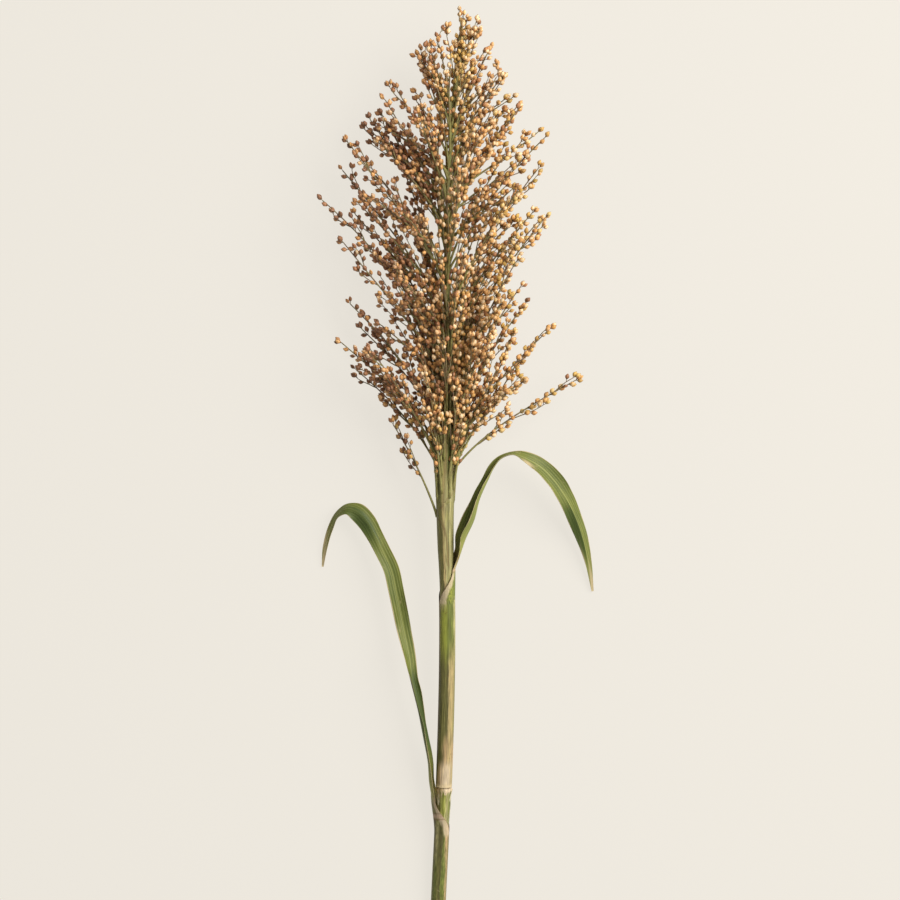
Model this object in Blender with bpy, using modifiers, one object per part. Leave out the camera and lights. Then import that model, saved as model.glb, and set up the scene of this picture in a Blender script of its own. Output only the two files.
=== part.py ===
"""Sorghum seed head: one cut stalk with two leaves and its loose panicle, lying on a surface.

The stalk lies along +Y with its cut end at -Y, and the surface is the plane z = 0.
Built in metres, +Z up, with the origin on the surface in the middle of the footprint.
"""
import bmesh
import bpy
import math
import numpy as np
from mathutils import Vector

MM = 0.001
GAP = 0.3 * MM
COLLECTION = "sorghum seed head"

# Line of the stem and of the panicle's axis, from the cut end to the tip
STEM_LINE = np.array([
    (-12.2, -325, 5.4), (-8.1, -236, 11.3), (-5.6, -120, 18.8), (-7.2, -30, 24.5),
    (-4.5, 70, 30.5), (-6.2, 150, 35.0), (-2.5, 240, 39.0), (5.0, 318, 40.0),
]) * MM
STEM_POINTS = 400
HEAD_BASE_Y = -30 * MM
HEAD_TIP_Y = 318 * MM

# Culm: radii inside the sheaths, then the radius at places along Y with the ring of its node
CULM_IN_LOWER_SHEATH = 4.6 * MM
CULM_IN_UPPER_SHEATH = 5.0 * MM
CULM_RADII = np.array([
    (-325, 4.6), (-298, 4.6), (-271, 4.6), (-265, 4.9), (-255, 5.4), (-244, 5.5), (-241, 6.3),
    (-238.7, 6.3), (-238.4, 5.0), (-200, 5.0), (-160, 5.0), (-120, 5.0), (-98, 5.0), (-88, 5.1),
    (-74, 5.4), (-64, 5.8), (-48, 6.1), (-30.3, 6.5),
]) * MM
CULM_RESOLUTION = 6

# Leaves: each is one sheet, wrapped round the culm as a sheath and opening into a blade
LEAF_THICKNESS = 0.7 * MM
LEAF_COLUMNS = 12
SHEATH_ROWS = 9
MOUTH_ROWS = 5
BLADE_ROWS = 26
SEAM_GAP = 0.5 * MM
MOUTH_WIDENING = 1.15
MOUTH_OPENING_POWER = 0.8
MARGIN_WAVE = 1.0 * MM
WAVE_FIRST_ROW = 3
WAVE_TURN = 1.1
WAVE_OFFSET = 1.3
LOWER_LEAF = {
    "sheath": (-325 * MM, -273 * MM),
    "mouth_y": -243 * MM,
    "mouth_flare": 0.62,
    "side": 186,
    "wraps": CULM_IN_LOWER_SHEATH,
    # X, Y and Z of the midrib, half width, curl radius, how steeply both halves fold down
    # from the midrib, and the way its upper face looks
    "blade": [
        (-18.2, -235, 12.0, 6.0, 6.5, 0, (1.0, 0.0, 0.1)),
        (-19.2, -220, 14.8, 5.0, 4.8, 0, (1.0, 0.1, 0.3)),
        (-22.2, -203, 17.5, 4.6, 3.6, 0, (0.95, 0.1, 0.4)),
        (-25.4, -186, 19.8, 4.6, 3.2, 0, (0.9, 0.1, 0.4)),
        (-28.2, -172, 20.8, 4.8, 3.2, 0, (0.8, 0.1, 0.6)),
        (-31.0, -160, 21.0, 4.7, 3.4, 0, (0.7, 0.1, 0.7)),
        (-33.0, -143, 20.6, 5.1, 8.0, 0, (0.4, 0.1, 0.9)),
        (-36.9, -124, 19.6, 5.4, 14.0, 0, (0.2, 0.1, 1.0)),
        (-40.3, -107, 18.4, 5.6, 16.0, 0, (0.05, 0.1, 1.0)),
        (-43.2, -93, 17.4, 5.8, 16.0, 0, (0.05, 0.1, 1.0)),
        (-46.4, -79, 16.5, 6.0, 14.0, 0, (0.1, 0.0, 1.0)),
        (-52.3, -66.5, 16.0, 6.0, 14.0, 0.1, (0.1, 0.1, 1.0)),
        (-58.6, -54, 15.8, 6.2, 14.0, 0.4, (0.1, 0.15, 0.95)),
        (-65.0, -43.5, 15.4, 6.2, 14.0, 0.7, (-0.05, 0.25, 0.9)),
        (-72.0, -37, 14.6, 5.3, 12.0, 0.6, (-0.1, 0.5, 0.8)),
        (-78.5, -35.2, 13.2, 4.2, 9.0, 0.4, (-0.2, 0.75, 0.5)),
        (-85.0, -39, 10.5, 3.6, 9.0, 0.2, (-0.6, 0.6, 0.5)),
        (-91.0, -50, 7.0, 2.8, 9.0, 0, (-0.6, 0.2, 0.75)),
        (-95.0, -64, 4.0, 1.9, 9.0, 0, (-0.5, 0.1, 0.85)),
        (-97.0, -78, 1.6, 0.7, 9.0, 0, (-0.3, 0.0, 1.0)),
    ],
}
UPPER_LEAF = {
    "sheath": (-237.9 * MM, -104 * MM),
    "mouth_y": -78 * MM,
    "mouth_flare": 0.12,
    "side": -16,
    "wraps": CULM_IN_UPPER_SHEATH,
    "blade": [
        (4.0, -66, 23.5, 5.8, 5.2, 0, (-1.0, 0.0, 0.35)),
        (7.4, -56, 25.0, 8.0, 5.0, 0, (-0.93, 0.0, 0.37)),
        (13.2, -43, 26.6, 9.2, 5.0, 0, (-0.9, 0.1, 0.43)),
        (17.2, -28, 28.2, 8.0, 4.3, 0, (-0.85, 0.2, 0.5)),
        (23.4, -14, 29.6, 6.8, 3.5, 0, (-0.8, 0.35, 0.5)),
        (28.0, -4.5, 30.6, 6.0, 3.6, 0, (-0.6, 0.6, 0.45)),
        (33.0, 1.3, 31.0, 5.2, 5.0, 0, (-0.35, 0.9, 0.2)),
        (41.5, 4.4, 30.6, 5.2, 9.0, 0, (-0.05, 0.95, 0.25)),
        (48.0, 3.0, 29.3, 5.6, 12.0, 0, (0.1, 0.75, 0.65)),
        (54.5, 0.0, 27.8, 6.2, 14.0, 0, (0.2, 0.5, 0.85)),
        (62.0, -4.6, 26.0, 6.6, 14.0, 0, (0.25, 0.35, 0.9)),
        (71.0, -13.4, 23.0, 6.8, 14.0, 0, (0.3, 0.3, 0.9)),
        (81.5, -28.4, 18.5, 6.9, 14.0, 0.25, (0.3, 0.25, 0.95)),
        (88.6, -43, 14.0, 6.2, 12.0, 0.8, (0.25, 0.15, 0.95)),
        (93.6, -57.5, 9.8, 4.6, 10.0, 0.7, (0.25, 0.1, 0.95)),
        (97.8, -75, 5.4, 2.6, 9.0, 0.2, (0.2, 0.1, 1.0)),
        (101.0, -96, 1.4, 0.8, 9.0, 0, (0.1, 0.0, 1.0)),
    ],
}

# Panicle: reach of its outline to the left and right of the axis at places along Y
HEAD_OUTLINE = np.array([
    (-30, 5, 5), (5, 26, 26), (22, 38, 40), (41, 54, 58), (66, 68, 74), (90, 76, 77),
    (127, 68, 68), (155, 76, 70), (175, 76, 76), (215, 76, 71), (237, 76, 70), (250, 57, 48),
    (265, 44, 44), (288, 34, 25), (300, 24, 20), (312, 11, 12), (325, 3, 3),
]) * MM
HEIGHT_SHARE = 0.74
RACHIS_RADII = np.array([
    (-30, 6.5), (-12, 6.3), (-8, 6.6), (-4, 6.0), (11, 4.9), (65, 3.3), (89, 2.7), (116, 1.9),
    (160, 1.5), (202, 1.2), (260, 0.9), (318, 0.7),
]) * MM
RACHIS_RESOLUTION = 3
SPIRAL_BRANCHES = 38
SPIRAL_REACH = 0.86
FIRST_BRANCH_Y = -26 * MM
LAST_BRANCH_Y = 264 * MM
BRANCH_CROWDING = 1.05
BRANCH_RISE = (112 * MM, 58 * MM)
RISE_RANGE = (0.82, 1.12)
SHORT_BRANCH = 0.6
TURN_SPREAD = 0.25
INNER_REACH = (0.5, 0.75)
ARCH_RANGE = (1.2, 1.5)
BRANCH_RADII = (1.15 * MM, 0.6 * MM)
BRANCH_SIDES = 3
BRANCH_RINGS = 6
BRANCH_FLOOR = 2.9 * MM
FLOOR_SOFTNESS = 3 * MM
GRAIN_LENGTH = 9.8 * MM
GRAIN_RADIUS = 3.3 * MM
GRAIN_SPACING = 10.3 * MM
GRAIN_SIDES = 4
GRAIN_LENGTH_RANGE = (0.9, 1.08)
GRAIN_LEAN = math.radians(38)
GRAIN_TURN = math.pi / 2
GRAIN_TURN_SPREAD = 0.4
GRAIN_FATTEST = 0.66
TIP_GRAIN_ROOT = 2 * MM
BARE_SHARE = 0.3
GOLDEN_ANGLE = math.pi * (3 - math.sqrt(5))
SEED = 11
# Branches that make the outline's sprays: start and rise along Y, reach, and turn in degrees
OUTER_BRANCHES = [
    (-30 * MM, 52 * MM, 40 * MM, 176),
    (-22 * MM, 86 * MM, 68 * MM, 184),
    (-8 * MM, 94 * MM, 76 * MM, 172),
    (8 * MM, 104 * MM, 73 * MM, 190),
    (42 * MM, 114 * MM, 75 * MM, 170),
    (64 * MM, 122 * MM, 91 * MM, 181),
    (92 * MM, 118 * MM, 78 * MM, 192),
    (116 * MM, 112 * MM, 74 * MM, 174),
    (146 * MM, 102 * MM, 52 * MM, 186),
    (-18 * MM, 70 * MM, 52 * MM, 26),
    (-20 * MM, 80 * MM, 91 * MM, -3),
    (-8 * MM, 104 * MM, 72 * MM, 5),
    (16 * MM, 108 * MM, 56 * MM, -12),
    (50 * MM, 124 * MM, 70 * MM, 3),
    (84 * MM, 126 * MM, 66 * MM, -9),
    (114 * MM, 118 * MM, 67 * MM, 4),
    (148 * MM, 108 * MM, 44 * MM, -6),
]
OUTER_ARCH = 1.5

SURFACE_TRIM_SIZE = (400 * MM, 800 * MM, 20 * MM)


def clear_scene():
    for obj in list(bpy.data.objects):
        bpy.data.objects.remove(obj, do_unlink=True)


def new_collection(name):
    collection = bpy.data.collections.new(name)
    bpy.context.scene.collection.children.link(collection)
    return collection


def plant_material(name, color, roughness):
    material = bpy.data.materials.new(name)
    material.use_nodes = True
    shader = material.node_tree.nodes["Principled BSDF"]
    shader.inputs["Base Color"].default_value = (*color, 1)
    shader.inputs["Roughness"].default_value = roughness
    shader.inputs["Metallic"].default_value = 0
    return material


def link_mesh(name, mesh, collection, material=None):
    obj = bpy.data.objects.new(name, mesh)
    collection.objects.link(obj)
    if material:
        mesh.materials.append(material)
    return obj


def smooth_path(points, count):
    """Evenly spaced points on a smooth curve through rows of numbers.

    Each span is a cubic whose end slopes are the slopes between a point's two neighbours.
    """
    points = np.asarray(points, float)
    steps = np.linalg.norm(np.diff(points[:, :3], axis=0), axis=1)
    at = np.concatenate([[0], np.cumsum(steps)])
    slopes = np.gradient(points, at, axis=0)
    want = np.linspace(0, at[-1], count)
    i = np.clip(np.searchsorted(at, want, side="right") - 1, 0, len(at) - 2)
    h = (at[i + 1] - at[i])[:, None]
    t = ((want - at[i]) / h[:, 0])[:, None]
    return (
        points[i] * (2 * t**3 - 3 * t**2 + 1)
        + slopes[i] * h * (t**3 - 2 * t**2 + t)
        + points[i + 1] * (3 * t**2 - 2 * t**3)
        + slopes[i + 1] * h * (t**3 - t**2)
    )


STEM_CURVE = smooth_path(STEM_LINE, STEM_POINTS)


def stem_at(y):
    """Points on the stem's line at the given places along Y."""
    y = np.atleast_1d(y)
    x = np.interp(y, STEM_CURVE[:, 1], STEM_CURVE[:, 0])
    z = np.interp(y, STEM_CURVE[:, 1], STEM_CURVE[:, 2])
    return np.stack([x, y, z], axis=1)


def smoothstep(low, high, x):
    t = np.clip((x - low) / (high - low), 0, 1)
    return t * t * (3 - 2 * t)


def tube_mesh(name, points, radii, resolution):
    """Mesh of a filled tube along a path: a bevelled curve, made a mesh with its caps welded."""
    curve = bpy.data.curves.new(name, "CURVE")
    curve.dimensions = "3D"
    curve.bevel_depth = 1
    curve.bevel_resolution = resolution
    curve.use_fill_caps = True
    spline = curve.splines.new("POLY")
    spline.points.add(len(points) - 1)
    for place, point, radius in zip(spline.points, points, radii):
        place.co = (*point, 1)
        place.radius = radius
    guide = bpy.data.objects.new(name, curve)
    bpy.context.scene.collection.objects.link(guide)
    depsgraph = bpy.context.evaluated_depsgraph_get()
    mesh = bpy.data.meshes.new_from_object(guide.evaluated_get(depsgraph))
    bpy.data.objects.remove(guide, do_unlink=True)
    shape = bmesh.new()
    shape.from_mesh(mesh)
    bmesh.ops.remove_doubles(shape, verts=shape.verts, dist=0.005 * MM)
    shape.to_mesh(mesh)
    shape.free()
    return mesh


def make_culm(collection, material):
    """The stem from its cut end to the foot of the panicle, with the ring of its node."""
    mesh = tube_mesh("culm", stem_at(CULM_RADII[:, 0]), CULM_RADII[:, 1], CULM_RESOLUTION)
    mesh.shade_smooth()
    return link_mesh("culm", mesh, collection, material)


def leaf_rows(leaf):
    """Midrib, upper face's direction, half width, curl and fold of each row of a leaf's sheet.

    In the sheath the midrib runs beside the stem at the sheath's radius and the sheet curls
    right round the stem. From the foot of its mouth it narrows to the blade's width.
    """
    low, high = leaf["sheath"]
    radius = (leaf["wraps"] + GAP) / math.cos(math.pi / LEAF_COLUMNS) + LEAF_THICKNESS / 2
    side = math.radians(leaf["side"])
    out = np.array([math.cos(side), 0, math.sin(side)])
    y = np.concatenate([
        np.linspace(low, high, SHEATH_ROWS),
        np.linspace(high, leaf["mouth_y"], MOUTH_ROWS + 1)[1:],
    ])
    axis = stem_at(y)
    closed = math.pi * radius - SEAM_GAP / 2
    blade = leaf["blade"]
    opening = smoothstep(high, leaf["mouth_y"], y)
    stretch = 1 + leaf["mouth_flare"] * opening
    sheath = np.column_stack([
        axis + out * radius * stretch[:, None],
        closed + (blade[0][3] * MOUTH_WIDENING * MM - closed) * opening**MOUTH_OPENING_POWER,
        radius * stretch,
        np.zeros(len(y)),
        np.tile(-out, (len(y), 1)),
    ])
    placed = np.array([
        (x * MM, along * MM, z * MM, half * MM, curl * MM, fold, *np.array(face) / np.linalg.norm(face))
        for x, along, z, half, curl, fold, face in blade
    ])
    free = smooth_path(np.vstack([sheath[-1:], placed]), BLADE_ROWS)[1:]
    rows = np.vstack([sheath, free])
    return rows[:, :3], rows[:, 6:9], rows[:, 3], rows[:, 4], rows[:, 5]


def make_leaf(name, leaf, collection, material, trim):
    """A leaf from its sheath to its tip, as one curled sheet with a real thickness.

    A row's point at distance s from the midrib lies on a circle of the row's curl radius,
    at the angle s / radius, and each half folds down. Margins also wave a little along the leaf.
    """
    midrib, face, half, curl, fold = leaf_rows(leaf)
    along = np.gradient(midrib, axis=0)
    along /= np.linalg.norm(along, axis=1)[:, None]
    across = np.cross(along, face)
    across /= np.linalg.norm(across, axis=1)[:, None]
    face = np.cross(across, along)
    share = np.linspace(-1, 1, LEAF_COLUMNS + 1)
    angle = share[None, :] * (half / curl)[:, None]
    shift = curl[:, None] * np.sin(angle)
    lift = curl[:, None] * (1 - np.cos(angle)) - fold[:, None] * np.abs(shift)
    travel = np.maximum(np.arange(len(half)) - SHEATH_ROWS - MOUTH_ROWS, 0)[:, None]
    wave = MARGIN_WAVE * share**2 * np.sin(travel * WAVE_TURN + WAVE_OFFSET * np.sign(share))
    width = half[:, None] / half[travel[:, 0] > 0].max()
    lift = lift + np.where(travel >= WAVE_FIRST_ROW, wave * width, 0)
    points = (
        midrib[:, None, :]
        + across[:, None, :] * shift[:, :, None]
        + face[:, None, :] * lift[:, :, None]
    )
    rows, columns = points.shape[:2]
    corner = np.arange(rows * columns).reshape(rows, columns)
    a, b = corner[:-1, :-1].ravel(), corner[:-1, 1:].ravel()
    c, d = corner[1:, 1:].ravel(), corner[1:, :-1].ravel()
    triangles = np.concatenate([np.stack([a, b, c], 1), np.stack([a, c, d], 1)])
    mesh = bpy.data.meshes.new(name)
    mesh.from_pydata(points.reshape(-1, 3).tolist(), [], triangles.tolist())
    mesh.shade_smooth()
    obj = link_mesh(name, mesh, collection, material)
    wall = obj.modifiers.new("thickness", "SOLIDIFY")
    wall.thickness = LEAF_THICKNESS
    wall.offset = 0
    wall.use_even_offset = False
    if trim:
        cut = obj.modifiers.new("flat underneath", "BOOLEAN")
        cut.operation = "DIFFERENCE"
        cut.object = trim
    return obj


def branch_line(start, rise, reach, turn, power):
    """Centre line of one branch, as an array of points from the rachis to its tip.

    It rises along the rachis and moves outward by a power of its run. The surface that the
    head lies on holds the lowest ones up.
    """
    run = np.linspace(0, 1, BRANCH_RINGS)
    line = stem_at(start + rise * run)
    out = reach * run**power
    line[:, 0] += out * math.cos(turn)
    line[:, 2] += out * math.sin(turn) * HEIGHT_SHARE
    above = (line[:, 2] - BRANCH_FLOOR) / FLOOR_SOFTNESS
    line[:, 2] = BRANCH_FLOOR + np.logaddexp(0, above) * FLOOR_SOFTNESS
    return line


def branch_lines(rng):
    """Centre lines of the outer branches, and of those in a spiral up the rachis."""
    lines = [
        branch_line(start, rise, reach, math.radians(turn), OUTER_ARCH)
        for start, rise, reach, turn in OUTER_BRANCHES
    ]
    for i in range(SPIRAL_BRANCHES):
        place = ((i + 0.5) / SPIRAL_BRANCHES) ** BRANCH_CROWDING
        start = FIRST_BRANCH_Y + (LAST_BRANCH_Y - FIRST_BRANCH_Y) * place
        rise = BRANCH_RISE[0] + (BRANCH_RISE[1] - BRANCH_RISE[0]) * place
        rise *= rng.uniform(*RISE_RANGE) * (SHORT_BRANCH if i % 4 == 2 else 1)
        tip = min(start + rise, HEAD_TIP_Y)
        turn = i * GOLDEN_ANGLE + rng.uniform(-TURN_SPREAD, TURN_SPREAD)
        left, right = (np.interp(tip, HEAD_OUTLINE[:, 0], HEAD_OUTLINE[:, k]) for k in (1, 2))
        outline = left + (right - left) * (1 + math.cos(turn)) / 2
        reach = outline * (SPIRAL_REACH if i % 3 else rng.uniform(*INNER_REACH))
        lines.append(branch_line(start, tip - start, reach, turn, rng.uniform(*ARCH_RANGE)))
    return lines


def grain_mesh(name, root, direction, length):
    """A seed as a few-sided drop whose long root is sunk in its branch."""
    shape = bmesh.new()
    bmesh.ops.create_uvsphere(shape, u_segments=GRAIN_SIDES, v_segments=2, radius=1)
    turn = Vector(direction).to_track_quat("Z", "Y").to_matrix()
    for vert in shape.verts:
        share = GRAIN_FATTEST + vert.co.z * (GRAIN_FATTEST if vert.co.z < 0 else 1 - GRAIN_FATTEST)
        drop = Vector((vert.co.x * GRAIN_RADIUS, vert.co.y * GRAIN_RADIUS, share * length))
        vert.co = turn @ drop + Vector(root)
    mesh = bpy.data.meshes.new(name)
    shape.to_mesh(mesh)
    shape.free()
    return mesh


def grains_on(line, rng):
    """Roots and directions of the seeds along one branch, on alternate sides, one at its tip."""
    steps = np.linalg.norm(np.diff(line, axis=0), axis=1)
    at = np.concatenate([[0], np.cumsum(steps)])
    first = at[-1] * BARE_SHARE
    count = max(int((at[-1] - first) / GRAIN_SPACING), 2)
    seeds = []
    turn = rng.uniform(0, math.tau)
    for k in range(count):
        place = first + (at[-1] - first) * k / count
        root = Vector([float(np.interp(place, at, line[:, a])) for a in range(3)])
        ahead = Vector([float(np.interp(place + MM, at, line[:, a])) for a in range(3)])
        along = (ahead - root).normalized()
        turn += GRAIN_TURN + rng.uniform(-GRAIN_TURN_SPREAD, GRAIN_TURN_SPREAD) + math.pi * (k % 2)
        sideways = along.orthogonal().normalized()
        side = sideways * math.cos(turn) + along.cross(sideways) * math.sin(turn)
        seeds.append((root, along * math.cos(GRAIN_LEAN) + side * math.sin(GRAIN_LEAN)))
    end = Vector(line[-1])
    along = (end - Vector(line[-2])).normalized()
    seeds.append((end - along * TIP_GRAIN_ROOT, along))
    return seeds


def make_panicle(collection, material, trim):
    """Rachis, branches and seeds, fused into one solid."""
    rng = np.random.default_rng(SEED)
    core = tube_mesh("panicle", stem_at(RACHIS_RADII[:, 0]), RACHIS_RADII[:, 1], RACHIS_RESOLUTION)
    rachis = link_mesh("panicle", core, collection)
    sprays = new_collection("sprays")
    for i, line in enumerate(branch_lines(rng)):
        widths = np.linspace(*BRANCH_RADII, BRANCH_RINGS)
        link_mesh(f"branch_{i}", branch_mesh(f"branch_{i}", line, widths), sprays)
        for k, (root, direction) in enumerate(grains_on(line, rng)):
            length = GRAIN_LENGTH * rng.uniform(*GRAIN_LENGTH_RANGE)
            link_mesh(f"seed_{i}_{k}", grain_mesh(f"seed_{i}_{k}", root, direction, length), sprays)
    fuse = rachis.modifiers.new("sprays", "BOOLEAN")
    fuse.operation = "UNION"
    fuse.operand_type = "COLLECTION"
    fuse.collection = sprays
    fuse.solver = "MANIFOLD"
    cut = rachis.modifiers.new("flat underneath", "BOOLEAN")
    cut.operation = "DIFFERENCE"
    cut.object = trim
    cut.solver = "MANIFOLD"
    depsgraph = bpy.context.evaluated_depsgraph_get()
    fused = bpy.data.meshes.new_from_object(rachis.evaluated_get(depsgraph))
    rachis.modifiers.clear()
    rachis.data = fused
    fused.materials.clear()
    fused.materials.append(material)
    for obj in list(sprays.objects):
        bpy.data.objects.remove(obj, do_unlink=True)
    bpy.data.collections.remove(sprays)
    return rachis


def branch_mesh(name, rings, widths):
    """A tapered branch with few sides: rings of points across its line, joined and capped."""
    along = np.gradient(rings, axis=0)
    along /= np.linalg.norm(along, axis=1)[:, None]
    side = np.cross(along, (0, 0, 1.0))
    side /= np.linalg.norm(side, axis=1)[:, None]
    up = np.cross(side, along)
    turn = np.arange(BRANCH_SIDES) * math.tau / BRANCH_SIDES
    points = (
        rings[:, None, :]
        + side[:, None, :] * (np.cos(turn)[None, :, None] * widths[:, None, None])
        + up[:, None, :] * (np.sin(turn)[None, :, None] * widths[:, None, None])
    )
    shape = bmesh.new()
    verts = [[shape.verts.new(p) for p in ring] for ring in points]
    for lower, upper in zip(verts[:-1], verts[1:]):
        for k in range(BRANCH_SIDES):
            after = (k + 1) % BRANCH_SIDES
            shape.faces.new((lower[k], lower[after], upper[after], upper[k]))
    shape.faces.new(verts[0][::-1])
    shape.faces.new(verts[-1])
    bmesh.ops.recalc_face_normals(shape, faces=shape.faces)
    mesh = bpy.data.meshes.new(name)
    shape.to_mesh(mesh)
    shape.free()
    return mesh


def make_surface_trim(collection):
    """Cutter below the surface that the stalk lies on, which leaves small flat spots under it."""
    bpy.ops.mesh.primitive_cube_add(size=1, location=(0, 0, -SURFACE_TRIM_SIZE[2] / 2))
    trim = bpy.context.object
    trim.name = "surface_trim"
    trim.scale = SURFACE_TRIM_SIZE
    bpy.ops.object.transform_apply(location=False, rotation=False, scale=True)
    for owner in list(trim.users_collection):
        owner.objects.unlink(trim)
    collection.objects.link(trim)
    trim.hide_render = True
    trim.display_type = "WIRE"
    return trim


def main():
    clear_scene()
    parts = new_collection(COLLECTION)
    cutters = new_collection("cutters")
    stem_green = plant_material("stem", (0.30, 0.28, 0.11), 0.5)
    leaf_green = plant_material("leaf", (0.16, 0.24, 0.07), 0.55)
    seed_gold = plant_material("seeds", (0.42, 0.22, 0.09), 0.5)
    trim = make_surface_trim(cutters)
    make_culm(parts, stem_green)
    make_leaf("lower_leaf", LOWER_LEAF, parts, leaf_green, trim)
    make_leaf("upper_leaf", UPPER_LEAF, parts, leaf_green, None)
    make_panicle(parts, seed_gold, trim)


main()
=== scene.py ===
"""Sorghum seed head: the finished look of one cut stalk that lies on a pale floor.

Laid out as an add-on and run as a script. Each operator makes one piece or group of like
pieces round the fixed frame, and main() calls them in order. Everything is in metres.
"""
import math

import bpy
import numpy as np
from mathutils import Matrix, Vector


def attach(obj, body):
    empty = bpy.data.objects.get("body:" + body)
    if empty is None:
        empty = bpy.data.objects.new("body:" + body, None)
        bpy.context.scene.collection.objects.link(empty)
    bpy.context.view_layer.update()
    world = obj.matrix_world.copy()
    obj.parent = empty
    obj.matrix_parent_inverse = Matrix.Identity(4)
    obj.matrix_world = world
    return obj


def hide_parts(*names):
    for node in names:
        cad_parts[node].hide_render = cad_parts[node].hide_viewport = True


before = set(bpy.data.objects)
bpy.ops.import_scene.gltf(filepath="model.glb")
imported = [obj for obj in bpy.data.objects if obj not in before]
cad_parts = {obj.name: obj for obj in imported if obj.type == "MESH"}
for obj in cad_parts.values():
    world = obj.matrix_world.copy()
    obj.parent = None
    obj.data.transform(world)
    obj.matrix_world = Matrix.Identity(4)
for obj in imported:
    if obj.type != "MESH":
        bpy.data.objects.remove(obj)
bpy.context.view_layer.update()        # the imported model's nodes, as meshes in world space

bl_info = {
    "name": "Sorghum Seed Head",
    "version": (1, 0, 0),
    "blender": (4, 5, 0),
    "location": "3D View > Sidebar > Sorghum",
    "description": "Builds a cut sorghum stalk with its leaves, branches, seeds and husks",
    "category": "Object",
}

MM = 0.001
BODY = "root"

# Line of the stem and of the head's axis, from the cut end to the tip, as the solids have it
STEM_LINE = np.array([
    (-12.2, -325, 5.4), (-8.1, -236, 11.3), (-5.6, -120, 18.8), (-7.2, -30, 24.5),
    (-4.5, 70, 30.5), (-6.2, 150, 35.0), (-2.5, 240, 39.0), (5.0, 318, 40.0),
]) * MM
CUT_END_Y = -325 * MM
HEAD_BASE_Y = -30 * MM
HEAD_TIP_Y = 318 * MM
NODE_Y = -239.8 * MM

# Radius of the bare culm at places along Y
CULM_RADII = np.array([
    (-325, 4.6), (-298, 4.6), (-271, 4.6), (-265, 4.9), (-255, 5.4), (-244.5, 5.5), (-242, 5.95),
    (-240.6, 6.3), (-239.6, 6.35), (-238.8, 6.1), (-238.4, 5.0), (-200, 5.0), (-160, 5.0),
    (-120, 5.0), (-98, 5.0), (-88, 5.1), (-74, 5.4), (-64, 5.8), (-48, 6.1), (-30.3, 6.5),
]) * MM
CULM_IN_LOWER_SHEATH = 4.6 * MM
CULM_IN_UPPER_SHEATH = 5.0 * MM

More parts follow.
